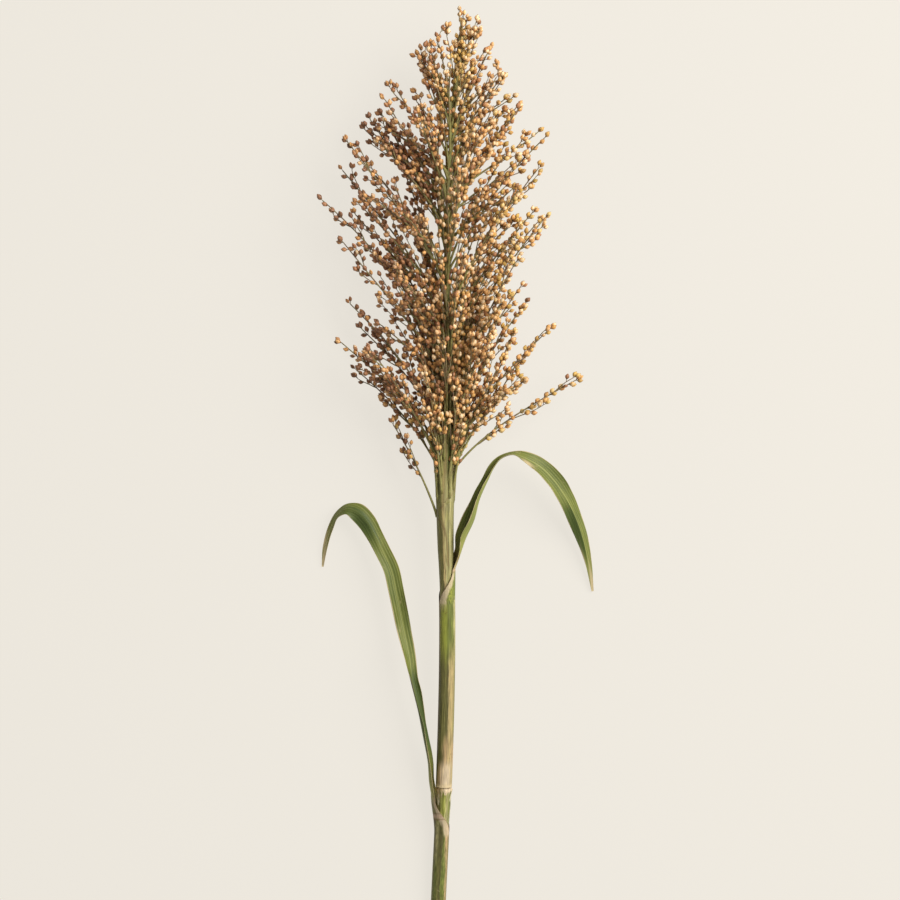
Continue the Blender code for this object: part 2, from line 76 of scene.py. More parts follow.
# Leaves, with nearly the rows of the solids: X, Y and Z of the midrib, half width, curl radius,
# how steeply both halves fold down from the midrib, and the way the upper face looks
SOLID_THICKNESS = 0.7 * MM
SOLID_GAP = 0.3 * MM
SOLID_BLADE_ROWS = 25
LEAF_THICKNESS = 0.42 * MM
LEAF_COLUMNS = 30
LEAF_ROWS = (60, 34, 190)
SEAM_GAP = 0.5 * MM
MOUTH_WIDENING = 1.15
MOUTH_OPENING_POWER = 0.8
MARGIN_WAVE = 1.0 * MM
MARGIN_RIPPLES = ((2.3, 0.22 * MM), (4.1, 0.12 * MM))
RIB_WIDTH = 0.7 * MM
RIB_TROUGH = -0.14 * MM
RIB_KEEL = -0.42 * MM
SHEATH_PLAY = 0.1 * MM
FOLD_ROUND = 0.5 * MM
WAVE_TURN = 1.1
WAVE_OFFSET = 1.3
# Each leaf also gives its collar's place and width, the side turned away from the key light with a shift
# (painted shade darkens that half where the blade folds), the places along the blade from full to no
# darkening (dusky), and a withered spot's place and width
LEAVES = {
    "lower_leaf": {
        "sheath": (-325 * MM, -273 * MM),
        "mouth_y": -243 * MM,
        "mouth_flare": 0.62,
        "side": 186,
        "wraps": CULM_IN_LOWER_SHEATH,
        "collar": (-0.54, 0.055),
        "shaded": (-1, 0.4),
        "dusky": (0.3, 0.38),
        "withered": (0.93, 0.03),
        "blade": [
            (-18.2, -235, 12.0, 6.0, 6.5, 0, (1.0, 0.0, 0.1)),
            (-19.2, -220, 14.8, 5.0, 4.8, 0, (1.0, 0.1, 0.3)),
            (-22.2, -203, 17.5, 4.6, 3.6, 0, (0.95, 0.1, 0.4)),
            (-25.4, -186, 19.8, 4.6, 3.2, 0, (0.9, 0.1, 0.4)),
            (-28.2, -172, 20.8, 4.8, 3.2, 0, (0.8, 0.1, 0.6)),
            (-31.0, -160, 21.0, 4.7, 3.4, 0, (0.7, 0.1, 0.7)),
            (-33.0, -143, 20.6, 5.1, 8.0, 0, (0.4, 0.1, 0.9)),
            (-36.9, -124, 19.6, 5.4, 14.0, 0, (0.2, 0.1, 1.0)),
            (-40.3, -107, 18.4, 5.6, 16.0, 0, (0.05, 0.1, 1.0)),
            (-43.2, -93, 17.4, 5.8, 16.0, 0, (0.05, 0.1, 1.0)),
            (-46.4, -79, 16.5, 6.0, 14.0, 0, (0.1, 0.0, 1.0)),
            (-52.3, -66.5, 16.0, 6.0, 14.0, 0.1, (0.1, 0.1, 1.0)),
            (-58.6, -54, 15.8, 6.2, 14.0, 0.4, (0.1, 0.15, 0.95)),
            (-65.0, -43.5, 15.4, 7.2, 14.0, 0.6, (-0.05, 0.2, 1.0)),
            (-72.0, -36.8, 14.6, 7.0, 14.0, 0.5, (-0.1, 0.3, 0.95)),
            (-78.5, -35.0, 13.2, 5.2, 12.0, 0.4, (-0.2, 0.5, 0.8)),
            (-85.0, -39, 10.5, 4.2, 9.0, 0.2, (-0.5, 0.5, 0.6)),
            (-91.0, -50, 7.0, 2.8, 9.0, 0, (-0.6, 0.2, 0.75)),
            (-95.0, -64, 4.0, 1.9, 9.0, 0, (-0.5, 0.1, 0.85)),
            (-97.0, -78, 1.6, 0.7, 9.0, 0, (-0.3, 0.0, 1.0)),
        ],
    },
    "upper_leaf": {
        "sheath": (-237.9 * MM, -104 * MM),
        "mouth_y": -78 * MM,
        "mouth_flare": 0.12,
        "side": -16,
        "wraps": CULM_IN_UPPER_SHEATH,
        "collar": (-0.03, 0.05),
        "shaded": (1, 0),
        "dusky": (-0.02, 0.03),
        "withered": (0.485, 0.026),
        "blade": [
            (4.0, -66, 23.5, 5.8, 5.2, 0, (-1.0, 0.0, 0.35)),
            (7.4, -56, 25.0, 8.8, 5.0, 0, (-0.93, 0.0, 0.37)),
            (13.2, -43, 26.6, 9.2, 5.0, 0, (-0.9, 0.1, 0.43)),
            (17.2, -28, 28.2, 6.6, 4.3, 0, (-0.85, 0.2, 0.5)),
            (23.4, -14, 29.6, 4.7, 3.5, 0, (-0.8, 0.35, 0.5)),
            (28.0, -4.5, 30.6, 3.9, 3.6, 0, (-0.6, 0.6, 0.45)),
            (33.0, 1.3, 31.0, 3.6, 5.0, 0, (-0.35, 0.9, 0.2)),
            (41.5, 4.4, 30.6, 4.6, 9.0, 0, (-0.05, 0.95, 0.25)),
            (48.0, 3.0, 29.3, 5.6, 12.0, 0, (0.1, 0.75, 0.65)),
            (54.5, 0.0, 27.8, 6.2, 14.0, 0, (0.2, 0.5, 0.85)),
            (62.0, -4.6, 26.0, 6.6, 14.0, 0, (0.25, 0.35, 0.9)),
            (71.0, -13.4, 23.0, 6.8, 14.0, 0, (0.3, 0.3, 0.9)),
            (81.5, -28.4, 18.5, 6.9, 14.0, 0.25, (0.3, 0.25, 0.95)),
            (88.6, -43, 14.0, 6.2, 12.0, 0.8, (0.25, 0.15, 0.95)),
            (93.6, -57.5, 9.8, 4.6, 10.0, 0.7, (0.25, 0.1, 0.95)),
            (97.8, -75, 5.4, 2.6, 9.0, 0.2, (0.2, 0.1, 1.0)),
            (101.0, -96, 1.4, 0.8, 9.0, 0, (0.1, 0.0, 1.0)),
        ],
    },
}

# Head, with the solid's outline and spiral, and its sprays but for the lowest on the left
HEAD_OUTLINE = np.array([
    (-30, 5, 5), (5, 26, 26), (22, 38, 40), (41, 54, 58), (66, 68, 74), (90, 76, 77),
    (127, 68, 68), (155, 76, 70), (175, 76, 76), (215, 76, 71), (237, 76, 70), (250, 57, 48),
    (265, 44, 44), (288, 34, 25), (300, 24, 20), (312, 11, 12), (325, 3, 3),
]) * MM
HEIGHT_SHARE = 0.74
RACHIS_RADII = np.array([
    (-30, 6.5), (-20, 6.1), (-8, 5.3), (-4, 5.0), (11, 4.2), (65, 2.9), (89, 2.4), (116, 1.9),
    (160, 1.5), (202, 1.2), (260, 0.9), (318, 0.7),
]) * MM
SPIRAL_BRANCHES = 38
SPIRAL_REACH = 0.86
FIRST_BRANCH_Y = -26 * MM
LAST_BRANCH_Y = 264 * MM
BRANCH_CROWDING = 1.05
BRANCH_RISE = (112 * MM, 58 * MM)
RISE_RANGE = (0.82, 1.12)
SHORT_BRANCH = 0.6
TURN_SPREAD = 0.25
INNER_REACH = (0.5, 0.75)
ARCH_RANGE = (1.2, 1.5)
OUTER_ARCH = 1.5
RACHIS_TIP_BARE_Y = 262 * MM
# Short inner branches: shares of the usual rise and reach, and how far in millimetres their
# tips stay below the head's; every other one lies flat, near the plane of the view
INNER_RISE = (0.5, 1.05)
INNER_TIP_GAP = (6, 60)
ROUND_REACH = (0.1, 0.75)
FLAT_REACH = (0.4, 0.9)
FLAT_TURN = 0.5
INNER_ARCH = (1.1, 1.5)
HEAD_TOP_Y = 250 * MM
OUTER_LIMIT = 60 * MM
FRONT_GAP = 5 * MM
FRONT_SHARE = 0.28
BRANCH_FLOOR = 2.9 * MM
FLOOR_SOFTNESS = 3 * MM
GOLDEN_ANGLE = math.pi * (3 - math.sqrt(5))
SEED = 11
LEAF_SEED = 13
VEIN_SPACING = 1.9 * MM
# Distances to either side of the rachis and above it that a seed's change of tint is scaled by; the paler
# tint on the right and on top, toward the key light, is painted light
TINT_SIDE = 40 * MM
PAINTED_LIGHT_RAISE = 20 * MM
TINT_MIDDLE = 0.54
TINT_SPREAD = 1.2
BRANCH_TINT_SHARE = 0.3
# Sprays that make the outline: start and rise along Y and reach, in millimetres, and turn
OUTER_BRANCHES = [
    (-22, 86, 68, 184),
    (-8, 94, 76, 172),
    (8, 104, 73, 190),
    (42, 114, 75, 170),
    (64, 122, 91, 181),
    (92, 118, 78, 192),
    (116, 112, 74, 174),
    (146, 102, 52, 186),
    (-18, 70, 52, 26),
    (-20, 80, 91, -3),
    (-8, 104, 72, 5),
    (16, 108, 56, -12),
    (50, 124, 70, 3),
    (84, 126, 66, -9),
    (114, 118, 67, 4),
    (148, 108, 44, -6),
]

# Sprays of the head's top, which the solid leaves to its spiral of branches
TOP_SPRAYS = [
    (170, 88, 50, 178),
    (184, 84, 40, 186),
    (206, 84, 27, 174),
    (150, 96, 60, 190),
    (182, 92, 31, 4),
    (206, 88, 19, -8),
    (160, 92, 46, 10),
]
# The lowest left branch, which leaves the stem's side below the others
LOW_BRANCH = (-41 * MM, 66 * MM, 40 * MM)
LOW_BRANCH_FOOT = 5.9 * MM
LOW_BRANCH_ARCH = 1.25
# Steep strands round the foot of the rachis: how many, their starts, rises and reaches
FOOT_STRANDS = 44
FOOT_STRAND_START = (-29 * MM, 70 * MM)
FOOT_STRAND_CROWDING = 1.5
FOOT_STRAND_RISE = (55 * MM, 90 * MM)
FOOT_STRAND_REACH = (3 * MM, 17 * MM)
FOOT_STRAND_TURN = 0.3
FOOT_STRAND_ARCH = 1.1
FOOT_STRAND_SUNK = 0.2 * MM
FOOT_STRAND_BARE = 0.26
# How far branches and fingers sway, and a finger's lean, its size's range and its bare share
BRANCH_SWAY = 2.2 * MM
FINGER_SWAY = 1.0 * MM
FINGER_LEAN = (math.radians(7), math.radians(21))
FINGER_SIZE = (0.7, 1.25)
FINGER_BEND = 0.8
FINGER_BARE = 0.25
# A seed's lean and its stalk in millimetres, and how often a cluster has a first, second
# and third seed, at a finger's tip and below it
SEED_LEAN = (math.radians(30), math.radians(60))
TIP_SEED_LEAN = math.radians(12)
SEED_STALK = (0.9, 2.4)
TIP_CLUSTER = (1, 0.85, 0.5)
LOW_CLUSTER = (1, 0.42, 0.06)
SEED_SIZE_RANGE = (0.86, 1.12)
# Half the thickness of a seed with its husk, which stays clear of the floor
SEED_CLEARANCE = 1.6 * MM

# Stage: the camera looks straight down on a square view, with the head's tip upwards
VIEW_CENTRE = (-3.6 * MM, 7.6 * MM)
VIEW_WIDTH = 648 * MM
VIEW_PLANE_Z = 35 * MM
FLOOR_HALF_SIZE = 6.0
FLOOR_ALBEDO = 0.12
# Each light's place, size and colour
LIGHTS = {
    "key": ((1.5, 0.75, 1.5), 1.8, (1.0, 0.975, 0.94)),
    "fill": ((-1.2, -0.9, 1.9), 1.8, (1.0, 0.98, 0.95)),
}


class SorghumHeadSettings(bpy.types.PropertyGroup):
    """Sizes of the branches, seeds and husks."""

    seed_length: bpy.props.FloatProperty(
        name="Seed Length", description="Length of a ripe seed with its pointed tip",
        default=4.5 * MM, min=0, unit="LENGTH")
    seed_width: bpy.props.FloatProperty(
        name="Seed Width", description="Widest measure across a ripe seed",
        default=3.0 * MM, min=0, unit="LENGTH")
    branch_radius: bpy.props.FloatProperty(
        name="Branch Radius", description="Radius of a branch where it leaves the rachis",
        default=1.1 * MM, min=0, unit="LENGTH")
    branch_tip_radius: bpy.props.FloatProperty(
        name="Branch Tip Radius", description="Radius of a branch at its tip",
        default=0.38 * MM, min=0, unit="LENGTH")
    finger_spacing: bpy.props.FloatProperty(
        name="Finger Spacing", description="Distance between the side fingers along a branch",
        default=15 * MM, min=2 * MM, unit="LENGTH")
    finger_length: bpy.props.FloatProperty(
        name="Finger Length", description="Length of the lowest side finger of a branch",
        default=33 * MM, min=2 * MM, unit="LENGTH")
    seed_spacing: bpy.props.FloatProperty(
        name="Seed Spacing", description="Distance between the clusters of seeds on a finger",
        default=5.8 * MM, min=1 * MM, unit="LENGTH")
    inner_branches: bpy.props.IntProperty(
        name="Inner Branches", description="Short branches that fill the inside of the head",
        default=62, min=0)


def color_setting(name, description, default):
    """A colour of the settings, in linear light."""
    return bpy.props.FloatVectorProperty(
        name=name, description=description, default=default, size=3, subtype="COLOR", min=0, max=1)


class SorghumColorSettings(bpy.types.PropertyGroup):
    """Colours of the plant and the floor, in linear light."""

    seed_gold: color_setting("Seed Gold", "Sunlit colour of a ripe seed", (0.79, 0.425, 0.135))
    seed_peach: color_setting("Seed Peach", "Palest colour of a seed", (1.0, 0.76, 0.46))
    seed_brown: color_setting("Seed Brown", "Brown of the riper seeds", (0.46, 0.205, 0.085))
    seed_dark: color_setting("Seed Dark", "Darkest colour of a seed", (0.22, 0.10, 0.045))
    seed_rust: color_setting("Seed Rust", "Pinkish brown of the seeds on the left", (0.40, 0.20, 0.12))
    seed_green: color_setting(
        "Seed Green", "Yellow green of the less ripe seeds near the rachis", (0.70, 0.50, 0.11))
    husk_brown: color_setting("Husk Brown", "Colour of the husk that clasps a seed", (0.17, 0.08, 0.035))
    branch_olive: color_setting(
        "Branch Olive", "Colour of the branches near the rachis", (0.25, 0.24, 0.075))
    branch_brown: color_setting("Branch Brown", "Colour of the twigs among the seeds", (0.17, 0.115, 0.07))
    stem_green: color_setting("Stem Green", "Main green of the stem and sheaths", (0.15, 0.175, 0.036))
    stem_olive: color_setting("Stem Olive", "Olive of the stem's shaded sides", (0.19, 0.175, 0.055))
    stem_deep: color_setting("Stem Deep", "Darkest olive of the stem", (0.10, 0.092, 0.03))
    stem_bright: color_setting("Stem Bright", "Bright green streaks of the stem", (0.31, 0.33, 0.055))
    stem_pale: color_setting("Stem Pale", "Pale cream green of the stem's upper part", (0.43, 0.39, 0.175))
    stem_tan: color_setting("Stem Tan", "Tan of the stem's dry streaks and seams", (0.45, 0.31, 0.16))
    collar_cream: color_setting("Collar Cream", "Pale dry sheath just above the node", (0.64, 0.51, 0.34))
    collar_pink: color_setting(
        "Collar Pink", "Pinkish tan of the band where a blade leaves its sheath", (0.50, 0.34, 0.23))
    stem_straw: color_setting(
        "Stem Straw", "Pale straw colour of the stem's dry side and node", (0.40, 0.31, 0.14))
    leaf_green: color_setting("Leaf Green", "Main green of the blades", (0.185, 0.20, 0.038))
    # Painted shade: this dark green is laid on the half of a folded blade that is turned away from the key
    # light, and over the lower blade's neck
    leaf_shade: color_setting(
        "Leaf Shade", "Dark green of a blade where it folds over", (0.055, 0.085, 0.02))
    leaf_yellow: color_setting(
        "Leaf Yellow", "Yellow green of a blade near its sheath", (0.40, 0.38, 0.09))
    leaf_deep: color_setting("Leaf Deep", "Darkest green of the blades", (0.085, 0.112, 0.022))
    pith_cream: color_setting("Pith Cream", "Colour of the pith at the cut end", (0.62, 0.55, 0.36))
    leaf_pale: color_setting("Leaf Pale", "Pale green of a blade's midrib and veins", (0.36, 0.375, 0.115))
    leaf_dry: color_setting(
        "Leaf Dry", "Colour of a blade's dry patches, margins and tip", (0.56, 0.44, 0.25))
    floor_cream: color_setting("Floor Cream", "Colour of the floor", (0.85, 0.81, 0.735))
    sky: color_setting("Sky", "Colour of the even light from all round", (1.0, 0.98, 0.945))


class SorghumStageSettings(bpy.types.PropertyGroup):
    """Light and camera."""

    key_power: bpy.props.FloatProperty(
        name="Key Power", description="Power of the large soft light on the right",
        default=78.0, min=0, unit="POWER")
    fill_power: bpy.props.FloatProperty(
        name="Fill Power", description="Power of the large soft light on the left",
        default=2.0, min=0, unit="POWER")
    sky_strength: bpy.props.FloatProperty(
        name="Sky Strength", description="Strength of the even light from all round",
        default=0.24, min=0)
    floor_glow: bpy.props.FloatProperty(
        name="Floor Glow", description="Light that the floor itself gives, as a light table does",
        default=0.88, min=0)
    lens: bpy.props.FloatProperty(
        name="Lens", description="Focal length of the camera", default=100.0, min=1, unit="CAMERA")


# Geometry

def smooth_path(points, count):
    """Evenly spaced rows on a smooth curve through rows of numbers.

    Each span is a cubic whose end slopes are the slopes between a row's two neighbours.
    """
    points = np.asarray(points, float)
    steps = np.linalg.norm(np.diff(points[:, :3], axis=0), axis=1)
    at = np.concatenate([[0], np.cumsum(steps)])
    slopes = np.gradient(points, at, axis=0)
    want = np.linspace(0, at[-1], count)
    i = np.clip(np.searchsorted(at, want, side="right") - 1, 0, len(at) - 2)
    h = (at[i + 1] - at[i])[:, None]
    t = ((want - at[i]) / h[:, 0])[:, None]
    return (
        points[i] * (2 * t**3 - 3 * t**2 + 1)
        + slopes[i] * h * (t**3 - 2 * t**2 + t)
        + points[i + 1] * (3 * t**2 - 2 * t**3)
        + slopes[i + 1] * h * (t**3 - t**2)
    )


STEM_CURVE = smooth_path(STEM_LINE, 400)


def stem_at(y):
    """Points on the stem's line at the given places along Y."""
    y = np.atleast_1d(y)
    x = np.interp(y, STEM_CURVE[:, 1], STEM_CURVE[:, 0])
    z = np.interp(y, STEM_CURVE[:, 1], STEM_CURVE[:, 2])
    return np.stack([x, y, z], axis=-1)


def smoothstep(low, high, x):
    """A soft step from 0 to 1: three times the square of the share less twice its cube."""
    t = np.clip((x - low) / (high - low), 0, 1)
    return t * t * (3 - 2 * t)


def unit(vectors):
    """Vectors of length 1, each one divided by its own length."""
    return vectors / np.linalg.norm(vectors, axis=-1, keepdims=True)


def between(across, up, angle):
    """Vectors at an angle from one vector to another: cosine times the first, sine the second."""
    return np.cos(angle)[..., None] * across + np.sin(angle)[..., None] * up


def above_floor(z, floor=2.4 * MM, softness=2 * MM):
    """Height kept above the floor by a soft maximum, log(1 + exp(height))."""
    return floor + np.logaddexp(0, (z - floor) / softness) * softness


def grid_quads(rows, columns, wrap=False):
    """Corner numbers of the quads of a grid; with wrap the last column joins the first."""
    corner = np.arange(rows * columns).reshape(rows, columns)
    left = corner if wrap else corner[:, :-1]
    right = np.roll(corner, -1, axis=1) if wrap else corner[:, 1:]
    return np.stack([left[:-1], right[:-1], right[1:], left[1:]], axis=-1).reshape(-1, 4)


def mesh_object(name, points, faces, material, attributes=None):
    """A new object from arrays: points (n, 3), and faces as arrays of quads and triangles."""
    mesh = bpy.data.meshes.new(name)
    mesh.vertices.add(len(points))
    mesh.vertices.foreach_set("co", np.ascontiguousarray(points, np.float32).ravel())
    corners = np.concatenate([block.ravel() for block in faces])
    sizes = np.concatenate([np.full(len(block), block.shape[1]) for block in faces])
    mesh.loops.add(len(corners))
    mesh.loops.foreach_set("vertex_index", corners.astype(np.int32))
    mesh.polygons.add(len(sizes))
    starts = np.concatenate([[0], np.cumsum(sizes)[:-1]])
    mesh.polygons.foreach_set("loop_start", starts.astype(np.int32))
    mesh.update(calc_edges=True)
    for label, values in (attributes or {}).items():
        values = np.ascontiguousarray(values, np.float32)
        kind, field = ("FLOAT_VECTOR", "vector") if values.ndim == 2 else ("FLOAT", "value")
        mesh.attributes.new(label, kind, "POINT").data.foreach_set(field, values.ravel())
    mesh.shade_smooth()
    mesh.materials.append(material)
    obj = bpy.data.objects.new(name, mesh)
    bpy.context.scene.collection.objects.link(obj)
    return obj


def tube_frames(lines):
    """Two unit vectors across each line at each point, for lines of shape (n, k, 3).

    The first is across the line and the axis that the line runs along least.
    """
    along = unit(np.gradient(lines, axis=1))
    least = np.argmin(np.abs(along).mean(axis=1), axis=1)
    across = unit(np.cross(along, np.eye(3)[least][:, None, :]))
    return across, np.cross(along, across)


def closed_rings(n, k, sides):
    """Quads and end fans of n bodies of k rings, whose two end points follow their rings."""
    per = k * sides + 2
    first = (np.arange(n) * per)[:, None, None]
    quads = (grid_quads(k, sides, wrap=True)[None] + first).reshape(-1, 4)
    edge = np.arange(sides)
    after = np.roll(edge, -1)
    last = (k - 1) * sides
    low = np.stack([after, edge, np.full(sides, per - 2)], axis=-1)
    high = np.stack([edge + last, after + last, np.full(sides, per - 1)], axis=-1)
    fans = (np.concatenate([low, high])[None] + first).reshape(-1, 3)
    return quads, fans


def tubes(lines, radii, sides):
    """Round tubes along many lines at once, each closed by a fan at both ends.

    A ring's point is the line's point plus the ring's radius times the cosine and sine of its
    angle along the two vectors across. Returns points, quads, fans, and the share along a line.
    """
    n, k, _ = lines.shape
    across, up = tube_frames(lines)
    turn = np.arange(sides) * math.tau / sides
    ring = between(across[:, :, None], up[:, :, None], turn)
    points = (lines[:, :, None, :] + ring * radii[:, None, None]).reshape(n, k * sides, 3)
    points = np.concatenate([points, lines[:, :1], lines[:, -1:]], axis=1)
    share = np.concatenate([np.repeat(np.linspace(0, 1, k), sides), [0, 1]])
    return points.reshape(-1, 3), *closed_rings(n, k, sides), np.tile(share, n)


# Branches, fingers and seeds of the head

BRANCH_RINGS = 18
BRANCH_SIDES = 7
BRANCH_TAPER = 0.7
FINGER_RINGS = 8
FINGER_SIDES = 5
FINGER_TAPER = (1.25, 0.75)
STALK_SIDES = 3
STALK_RADII = np.array([0.26, 0.24, 0.38]) * MM
STALK_SUNK = 0.4 * MM
SIDE_SLOTS = 6
CLUSTER_SLOTS = 14
CLUSTER_SEEDS = 3


def sample_lines(lines, share):
    """Points and unit directions on lines (n, k, 3) at shares (n, m) of their run."""
    n, k, _ = lines.shape
    along = unit(np.gradient(lines, axis=1))
    at = np.clip(share, 0, 1) * (k - 1)
    i = np.clip(at.astype(int), 0, k - 2)
    t = (at - i)[..., None]
    row = np.arange(n)[:, None]
    points = lines[row, i] * (1 - t) + lines[row, i + 1] * t
    return points, unit(along[row, i] * (1 - t) + along[row, i + 1] * t)


def line_lengths(lines):
    """Length of each line, as the sum of its spans."""
    return np.linalg.norm(np.diff(lines, axis=1), axis=2).sum(axis=1)


def side_vectors(along, turn):
    """Unit vectors across the given directions, turned about them by the given angles."""
    least = np.eye(3)[np.argmin(np.abs(along), axis=-1)]
    across = unit(np.cross(along, least))
    return between(across, np.cross(along, across), turn)


def outline_reach(y, turn):
    """Reach of the head's outline at a place along Y, on the side given by the turn."""
    left, right = (np.interp(y, HEAD_OUTLINE[:, 0], HEAD_OUTLINE[:, k]) for k in (1, 2))
    return left + (right - left) * (1 + np.cos(turn)) / 2


def inside_outline(points, margin=1.5 * MM, keep=0.25):
    """Points with what stands out of the head's outline pulled back to a share of itself."""
    axis = stem_at(points[..., 1])
    x = points[..., 0] - axis[..., 0]
    z = (points[..., 2] - axis[..., 2]) / HEIGHT_SHARE
    reach = np.hypot(x, z) + 1e-9
    limit = np.maximum(outline_reach(points[..., 1], np.arctan2(z, x)), OUTER_LIMIT) + margin
    limit = np.where(points[..., 1] > HEAD_TOP_Y, outline_reach(points[..., 1], 0), limit)
    pull = (reach - np.maximum(reach - limit, 0) * (1 - keep)) / reach
    return np.stack([
        axis[..., 0] + x * pull,
        points[..., 1],
        above_floor(axis[..., 2] + z * pull * HEIGHT_SHARE),
    ], axis=-1)


def branch_line(start, rise, reach, turn, arch, foot=0.0):
    """Centre line of a branch: it rises along the stem and moves out by a power of its run."""
    run = np.linspace(0, 1, BRANCH_RINGS)
    line = stem_at(start + rise * run)
    out = foot + (reach - foot) * run**arch
    line[:, 0] += out * math.cos(turn)
    line[:, 2] += (foot + (out - foot) * HEIGHT_SHARE) * math.sin(turn)
    line[:, 2] = above_floor(line[:, 2], BRANCH_FLOOR, FLOOR_SOFTNESS)
    return line


def main_branches(rng):
    """Centre lines of the lowest branch, of the outline's sprays and of those in a spiral."""
    lines = [branch_line(*LOW_BRANCH, math.pi, LOW_BRANCH_ARCH, LOW_BRANCH_FOOT)]
    lines += [
        branch_line(start * MM, rise * MM, reach * MM, math.radians(turn), OUTER_ARCH)
        for start, rise, reach, turn in OUTER_BRANCHES + TOP_SPRAYS
    ]
    for i in range(SPIRAL_BRANCHES):
        place = ((i + 0.5) / SPIRAL_BRANCHES) ** BRANCH_CROWDING
        start = FIRST_BRANCH_Y + (LAST_BRANCH_Y - FIRST_BRANCH_Y) * place
        rise = BRANCH_RISE[0] + (BRANCH_RISE[1] - BRANCH_RISE[0]) * place
        rise *= rng.uniform(*RISE_RANGE) * (SHORT_BRANCH if i % 4 == 2 else 1)
        tip = min(start + rise, HEAD_TIP_Y)
        turn = i * GOLDEN_ANGLE + rng.uniform(-TURN_SPREAD, TURN_SPREAD)
        outline = float(outline_reach(tip, turn))
        reach = outline * (SPIRAL_REACH if i % 3 else rng.uniform(*INNER_REACH))
        lines.append(branch_line(start, tip - start, reach, turn, rng.uniform(*ARCH_RANGE)))
    return np.stack(lines)


def foot_strands(rng):
    """Centre lines of the steep strands that hide the foot of the rachis, all round it."""
    lines = []
    for i in range(FOOT_STRANDS):
        place = (i / (FOOT_STRANDS - 1)) ** FOOT_STRAND_CROWDING
        start = FOOT_STRAND_START[0] + (FOOT_STRAND_START[1] - FOOT_STRAND_START[0]) * place
        foot = float(profile_at(RACHIS_RADII, start)) - FOOT_STRAND_SUNK
        turn = i * GOLDEN_ANGLE + rng.uniform(-FOOT_STRAND_TURN, FOOT_STRAND_TURN)
        reach = foot + rng.uniform(*FOOT_STRAND_REACH)
        rise = rng.uniform(*FOOT_STRAND_RISE)
        lines.append(branch_line(start, rise, reach, turn, FOOT_STRAND_ARCH, foot))
    return np.stack(lines)


def inner_branches(rng, count):
    """Centre lines of short branches that stay near the rachis, and of the rachis's own tip."""
    lines = []
    for i in range(count):
        place = (i + 0.5) / count
        start = FIRST_BRANCH_Y + (LAST_BRANCH_Y - FIRST_BRANCH_Y) * place
        rise = BRANCH_RISE[0] + (BRANCH_RISE[1] - BRANCH_RISE[0]) * place
        rise *= rng.uniform(*INNER_RISE)
        tip = min(start + rise, HEAD_TIP_Y - rng.uniform(*INNER_TIP_GAP) * MM)
        turn = rng.uniform(0, math.tau)
        reach = rng.uniform(*ROUND_REACH)
        if i % 2:
            turn = (i // 2 % 2) * math.pi + rng.uniform(-FLAT_TURN, FLAT_TURN)
            reach = rng.uniform(*FLAT_REACH)
        reach *= float(outline_reach(tip, turn))
        lines.append(branch_line(start, tip - start, reach, turn, rng.uniform(*INNER_ARCH)))
    lines.append(branch_line(RACHIS_TIP_BARE_Y, HEAD_TIP_Y - RACHIS_TIP_BARE_Y, 1 * MM, 0, 1))
    return np.stack(lines)


def swayed(lines, rng, sway):
    """Lines bent sideways a little: two slow sine waves that grow along each line's run."""
    run = np.linspace(0, 1, lines.shape[1])
    across, up = tube_frames(lines)
    bend = np.zeros(lines.shape)
    for vector in (across, up):
        waves = rng.uniform(2.0, 5.0, (len(lines), 1))
        start = rng.uniform(0, math.tau, (len(lines), 1))
        shift = sway * run * (np.sin(waves * run + start) - np.sin(start) * (1 - run))
        bend += vector * shift[..., None]
    return lines + bend


def bare_share(lines):
    """Share of each branch without seeds: half of it at the head's foot, less further up."""
    return np.interp(lines[:, 0, 1], [FIRST_BRANCH_Y, 60 * MM, LAST_BRANCH_Y], [0.42, 0.34, 0.22])


def side_fingers(mains, bare, rng, spacing, length):
    """Fingers that leave the branches: they lean out at once and then follow the branch.

    A finger's point is its root plus the branch's direction times the run, and a vector
    across it times a power of the run.
    """
    count = np.clip(line_lengths(mains) * 0.7 / spacing, 2, SIDE_SLOTS).astype(int)
    slot = np.arange(SIDE_SLOTS)[None, :]
    used = slot < count[:, None]
    first = bare[:, None] - 0.12
    share = first + (0.9 - first) * (slot + rng.uniform(0.1, 0.9, used.shape)) / count[:, None]
    root, along = sample_lines(mains, share)
    turn = slot * GOLDEN_ANGLE + rng.uniform(0, math.tau, (len(mains), 1))
    turn = turn + rng.uniform(-0.5, 0.5, used.shape)
    side = side_vectors(along, turn)
    lean = rng.uniform(*FINGER_LEAN, used.shape)
    size = length * (1.2 - 0.85 * share) * rng.uniform(*FINGER_SIZE, used.shape)
    owner = np.nonzero(used)[0]
    root, along, side, lean, size = (a[used] for a in (root, along, side, lean, size))
    run = np.linspace(0, 1, FINGER_RINGS)
    forward = along[:, None] * (size * np.cos(lean))[:, None, None] * run[None, :, None]
    out = side[:, None] * (size * np.sin(lean))[:, None, None] * (run**FINGER_BEND)[None, :, None]
    return root[:, None] + forward + out, owner


